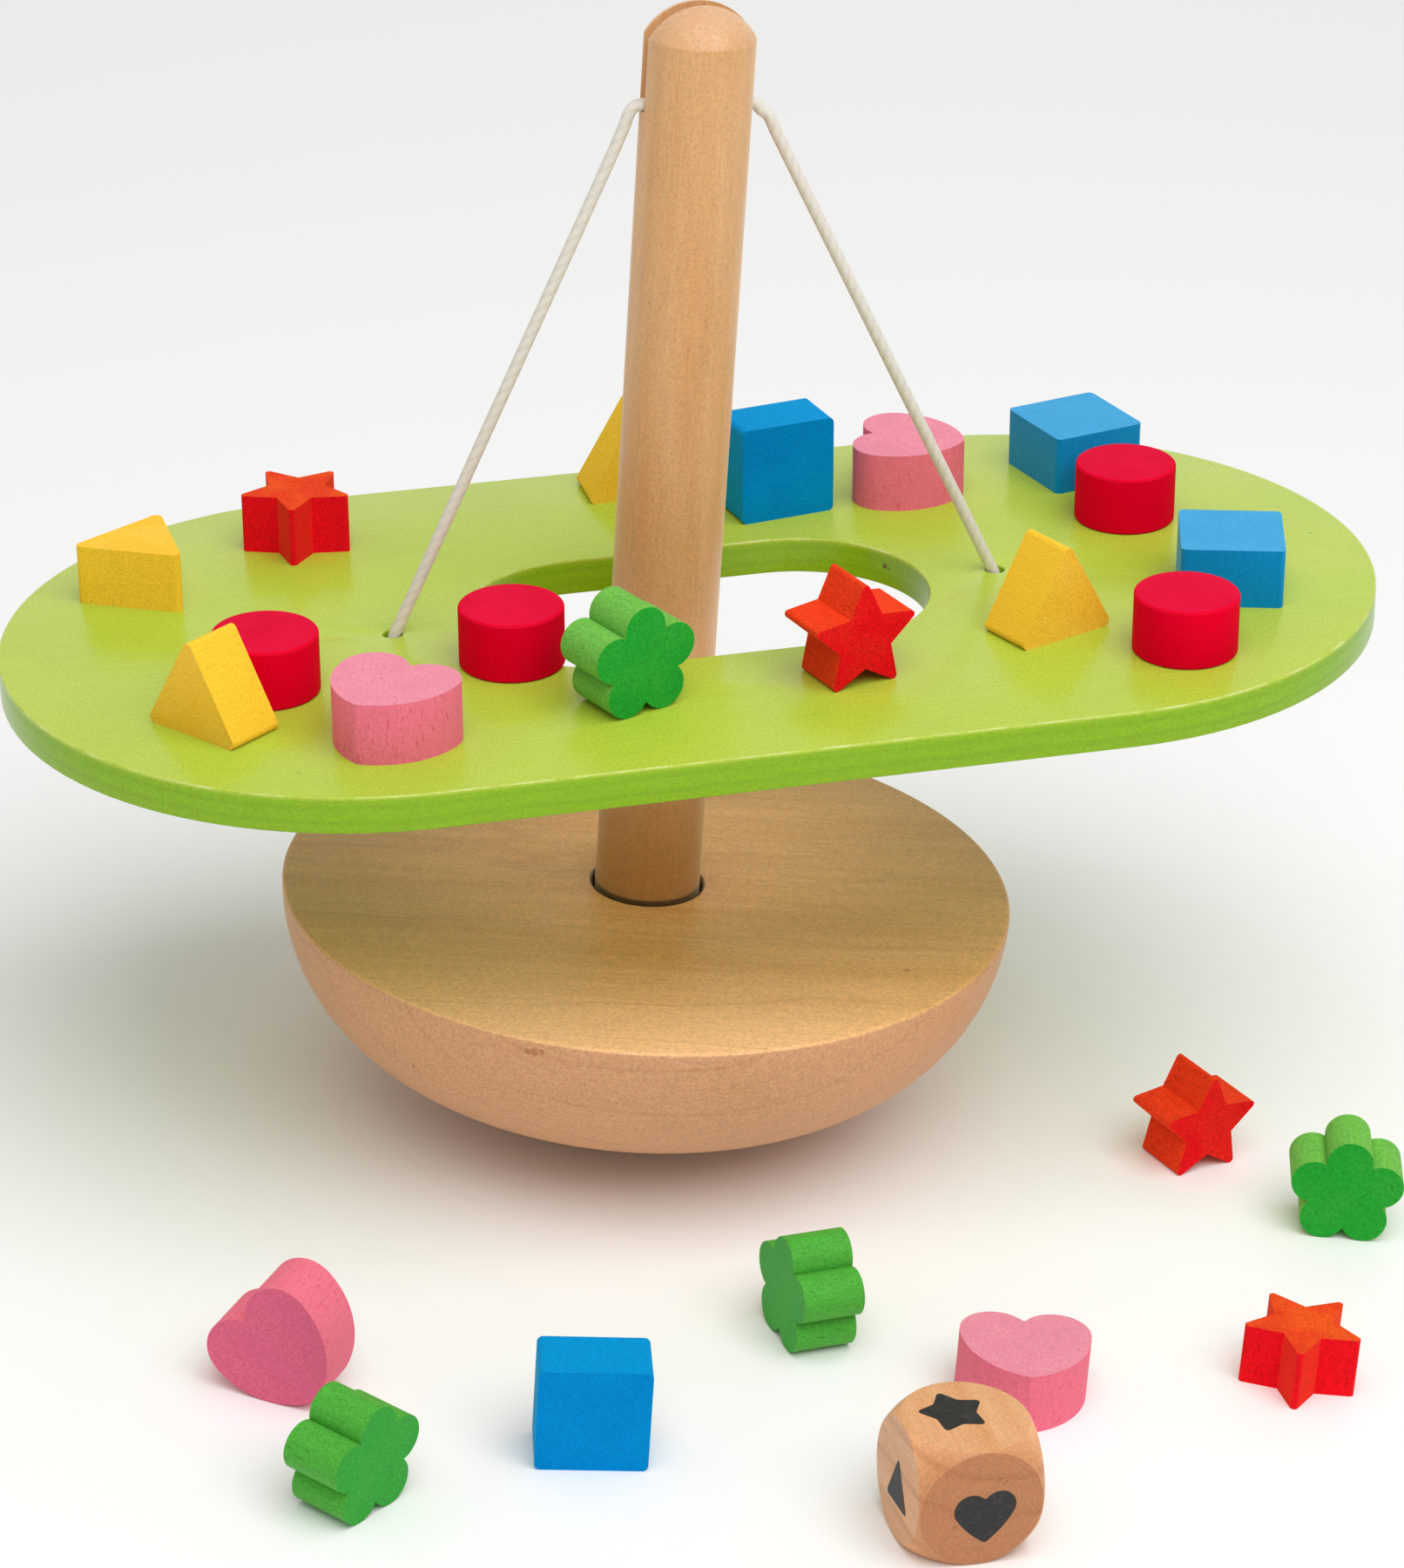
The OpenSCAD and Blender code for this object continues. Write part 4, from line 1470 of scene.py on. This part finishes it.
@dataclass
class ShapeDie:
    """The wooden die with one black shape on each face."""

    node: str = "die"
    edge_round: float = 0.3
    edge_limit_deg: float = 22.0
    ink_t: float = 0.04
    # Points round a print, and how many on each side are averaged to blunt its corners
    fine: int = 120
    blunting: int = 2
    star_waist: float = 0.6
    petal_depth: float = 0.18
    # The two arcs of half a heart, which meet where the flank starts
    lobe_at: Point = (0.46, 0.0)
    lobe_r: float = 0.54
    lobe_from_deg: float = 142.0
    lobe_steps: int = 24
    flank_at: Point = (-1.67, 1.23)
    flank_r: float = 3.0
    flank_deg: Span = (-30.0, -55.5)
    flank_steps: int = 8
    # How fast a face turns to end grain as it faces the front, and what is taken off
    end_slope: float = 2.0
    end_offset: float = 0.6
    tears: SpotMarks = SpotMarks((
        Spot((20.2, -183.1, 17.6), 0.5), Spot((21.5, -183.0, 17.0), 0.4), Spot((12.6, -183.4, 8.6), 0.4)))
    stamps: tuple[Stamp, ...] = (
        Stamp(Print.STAR, (0, 0, 1), 6.8, (-1.7, 1.8), 8.4),
        Stamp(Print.HEART, (0, -1, 0), 5.8, (0.6, 0.1), 4.0),
        Stamp(Print.TRIANGLE, (-1, 0, 0), 6.2, (0.2, -1.8), 5.0),
        Stamp(Print.DISC, (1, 0, 0), 5.2),
        Stamp(Print.SQUARE, (0, 1, 0), 6.6, turn_deg=45.0),
        Stamp(Print.FLOWER, (0, 0, -1), 5.6))

    def radius(self, shape: Print, turn: float) -> float:
        """Works out how far a shape reaches in one direction.

        Args:
            shape: Any shape but the heart.
            turn: The direction, in radians from the shape's top.

        Returns:
            The reach, of which the furthest is one.
        """
        if shape is Print.STAR:
            half = math.pi / 5
            off = abs((turn + half) % (2 * half) - half)
            waist = self.star_waist
            return waist * math.sin(half) / (math.sin(off) + waist * math.sin(half - off))
        if shape is Print.FLOWER:
            return 1 - self.petal_depth * (1 - abs(math.cos(5 / 2 * turn)))
        if shape is Print.DISC:
            return 1.0
        half = math.pi / (3 if shape is Print.TRIANGLE else 4)
        return math.cos(half) / math.cos(turn % (2 * half) - half)

    def heart(self) -> list[Point]:
        """Works out the heart, whose flanks run on from its lobes.

        Returns:
            Its outline, about one unit from the middle to the side of a lobe.
        """
        start, end = self.flank_deg
        lobe = arc(self.lobe_at, self.lobe_r, self.lobe_from_deg, start, self.lobe_steps)
        flank = arc(self.flank_at, self.flank_r, start, end, self.flank_steps)
        half = lobe + flank[1:]
        return half + [(-x, y) for x, y in half[:0:-1]]

    def outline(self, shape: Print) -> list[Point]:
        """Works out one printed shape, its corners a little blunt as ink leaves them.

        Args:
            shape: Which shape.

        Returns:
            Its outline, about one unit from the middle to its furthest points.
        """
        if shape is Print.HEART:
            return self.heart()
        sharp = []
        for turn in (math.tau * k / self.fine for k in range(self.fine)):
            reach = self.radius(shape, turn)
            sharp.append((reach * math.sin(turn), reach * math.cos(turn)))
        near = range(-self.blunting, self.blunting + 1)
        return [
            tuple(sum(sharp[(k + n) % self.fine][axis] for n in near) / len(near) for axis in (0, 1))
            for k in range(self.fine)]

    def ink(self, stamp: Stamp, seat: Matrix) -> bpy.types.Object:
        """Prints one shape as a thin closed layer.

        Args:
            stamp: The shape and how it is printed.
            seat: The middle of the face, with Z outwards and Y up.

        Returns:
            The print.
        """
        bpy.ops.object.select_all(action="DESELECT")
        outline = self.outline(stamp.shape)
        bpy.ops.mesh.primitive_circle_add(vertices=len(outline), radius=1.0, fill_type="NGON")
        piece = bpy.context.active_object
        piece.name = piece.data.name = f"die_print_{stamp.shape.value}"
        for v, (x, y) in zip(piece.data.vertices, outline):
            v.co = (x * stamp.size * MM, y * stamp.size * MM, 0.0)
        with editing(piece, "FACE"):
            bpy.ops.mesh.select_all(action="SELECT")
            bpy.ops.mesh.extrude_region_move(TRANSFORM_OT_translate={"value": (0, 0, self.ink_t * MM)})
            bpy.ops.mesh.select_all(action="SELECT")
            bpy.ops.mesh.normals_make_consistent(inside=False)
        shift = Matrix.Translation((stamp.shift[0] * MM, stamp.shift[1] * MM, 0.0))
        piece.data.transform(seat @ shift @ Matrix.Rotation(math.radians(stamp.turn_deg), 4, "Z"))
        return piece

    def seat(self, middle: Vector, out: Vector) -> Matrix:
        """Stands a print upright on a face.

        Args:
            middle: The middle of the face.
            out: The way the face looks.

        Returns:
            The middle of the face, with Z outwards and Y up, or away from the loose pieces on a level face.
        """
        up = Vector((0, 0, 1)) if abs(out.z) < LEVEL else Vector((0, 1, 0))
        across = up.cross(out).normalized()
        return Matrix.Translation(middle) @ Matrix((across, out.cross(across), out)).transposed().to_4x4()

    def cut(self, face: bpy.types.MeshPolygon) -> float:
        """The share by which a face cuts across the fibres, which run from front to back."""
        return min(1.0, max(0.0, self.end_slope * abs(face.normal.y) - self.end_offset))

    def build(self) -> list[bpy.types.Object]:
        """Copies the die's solid, rounds it, dresses it and prints its faces.

        Returns:
            The die and its prints.
        """
        die = copy_node(self.node, "shape_die")
        flats = sorted(die.data.polygons, key=lambda f: -f.area)[:len(self.stamps)]
        faces = [(f.center.copy(), f.normal.copy()) for f in flats]
        round_edges(die, self.edge_round, Rounded.SHARP, limit_deg=self.edge_limit_deg)
        mark_cut(die, self.cut)
        low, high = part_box(self.node)
        # Beech with its end to the front: a brown face with the cutter's rings, and paler striped sides
        finish = LacqueredBeech(
            "turned_beech_die", pale="#F9BB88", streak="#ECA66E", end="#C68355", fleck="#A8602F",
            grain=Grain.ACROSS, marks=self.tears, heart_mm=(0.0, 20.0, 60.0), ring_mm=4.5, figure=0.3,
            lathe_mm=tuple((low + high) / 2 / MM), turning=0.07, rim=0.14, haze=0.1)
        dress(die, finish.material(), "die_beech", self.node)
        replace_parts(die, self.node)
        ink = PadInk().material()
        prints = []
        for stamp in self.stamps:
            middle, out = max(faces, key=lambda f: f[1].dot(Vector(stamp.way)))
            piece = self.ink(stamp, self.seat(middle, out))
            dress(piece, ink, "die_beech", self.node)
            prints.append(piece)
        return [die, *prints]


@dataclass(frozen=True)
class Softbox:
    """One soft light: its place and size in millimetres, and its power in watts."""

    name: str
    at: Place
    size: Point
    power: float


@dataclass
class Studio:
    """The pale floor, the soft lights and the camera."""

    floor_size: float = 8000.0
    room: str = "#FFFFFF"
    room_strength: float = 0.45
    aim: Place = (0.0, 0.0, 100.0)
    softboxes: tuple[Softbox, ...] = (
        Softbox("key_softbox", (100.0, -640.0, 1340.0), (1500.0, 1500.0), 18.0),
        Softbox("back_card", (380.0, 1300.0, 750.0), (1800.0, 1100.0), 3.2))
    camera_at: Place = (-235.9, -847.5, 479.5)
    azimuth_deg: float = -16.2
    elevation_deg: float = 25.0
    roll_deg: float = 3.87
    lens: float = 109.2
    sensor: float = 36.0

    def floor(self) -> None:
        """Lays the floor and lights the room behind it."""
        bpy.ops.object.select_all(action="DESELECT")
        bpy.ops.mesh.primitive_plane_add(size=self.floor_size * MM)
        floor = bpy.context.active_object
        floor.name = "studio_floor"
        floor.data.materials.append(StudioPaper().material())
        world = bpy.data.worlds.new("studio")
        world.use_nodes = True
        background = world.node_tree.nodes["Background"]
        background.inputs["Color"].default_value = linear(self.room)
        background.inputs["Strength"].default_value = self.room_strength
        bpy.context.scene.world = world
        bpy.context.scene.view_settings.view_transform = "Standard"

    def light(self, softbox: Softbox) -> None:
        """Hangs one softbox that faces the middle of the game.

        Args:
            softbox: The light.
        """
        lamp = bpy.data.lights.new(softbox.name, "AREA")
        lamp.shape = "RECTANGLE"
        lamp.size, lamp.size_y = (edge * MM for edge in softbox.size)
        lamp.energy = softbox.power
        holder = bpy.data.objects.new(softbox.name, lamp)
        holder.location = Vector(softbox.at) * MM
        facing = Vector(self.aim) * MM - holder.location
        holder.rotation_euler = facing.to_track_quat("-Z", "Y").to_euler()
        bpy.context.scene.collection.objects.link(holder)

    def camera(self) -> None:
        """Sets the camera at the picture's own angle."""
        az, el = math.radians(self.azimuth_deg), math.radians(self.elevation_deg)
        turn = Matrix.Rotation(az, 3, "Z") @ Matrix.Rotation(math.pi / 2 - el, 3, "X")
        turn = turn @ Matrix.Rotation(math.radians(self.roll_deg), 3, "Z")
        lens = bpy.data.cameras.new("camera")
        lens.lens, lens.sensor_width = self.lens, self.sensor
        holder = bpy.data.objects.new("camera", lens)
        holder.matrix_world = Matrix.Translation(Vector(self.camera_at) * MM) @ turn.to_4x4()
        bpy.context.scene.collection.objects.link(holder)
        bpy.context.scene.camera = holder

    def build(self) -> None:
        """Sets up the whole studio."""
        self.floor()
        for softbox in self.softboxes:
            self.light(softbox)
        self.camera()


def main() -> None:
    """Builds the game piece by piece, and the studio round it."""
    logging.basicConfig(level=logging.INFO)
    swing = Swing.of_frame()
    Studio().build()
    CordSling(swing).build()
    RockerBase().build()
    SlottedMast().build()
    HangingDeck(swing).build()
    PieceSet().build()
    ShapeDie().build()


if __name__ == "__main__":
    main()
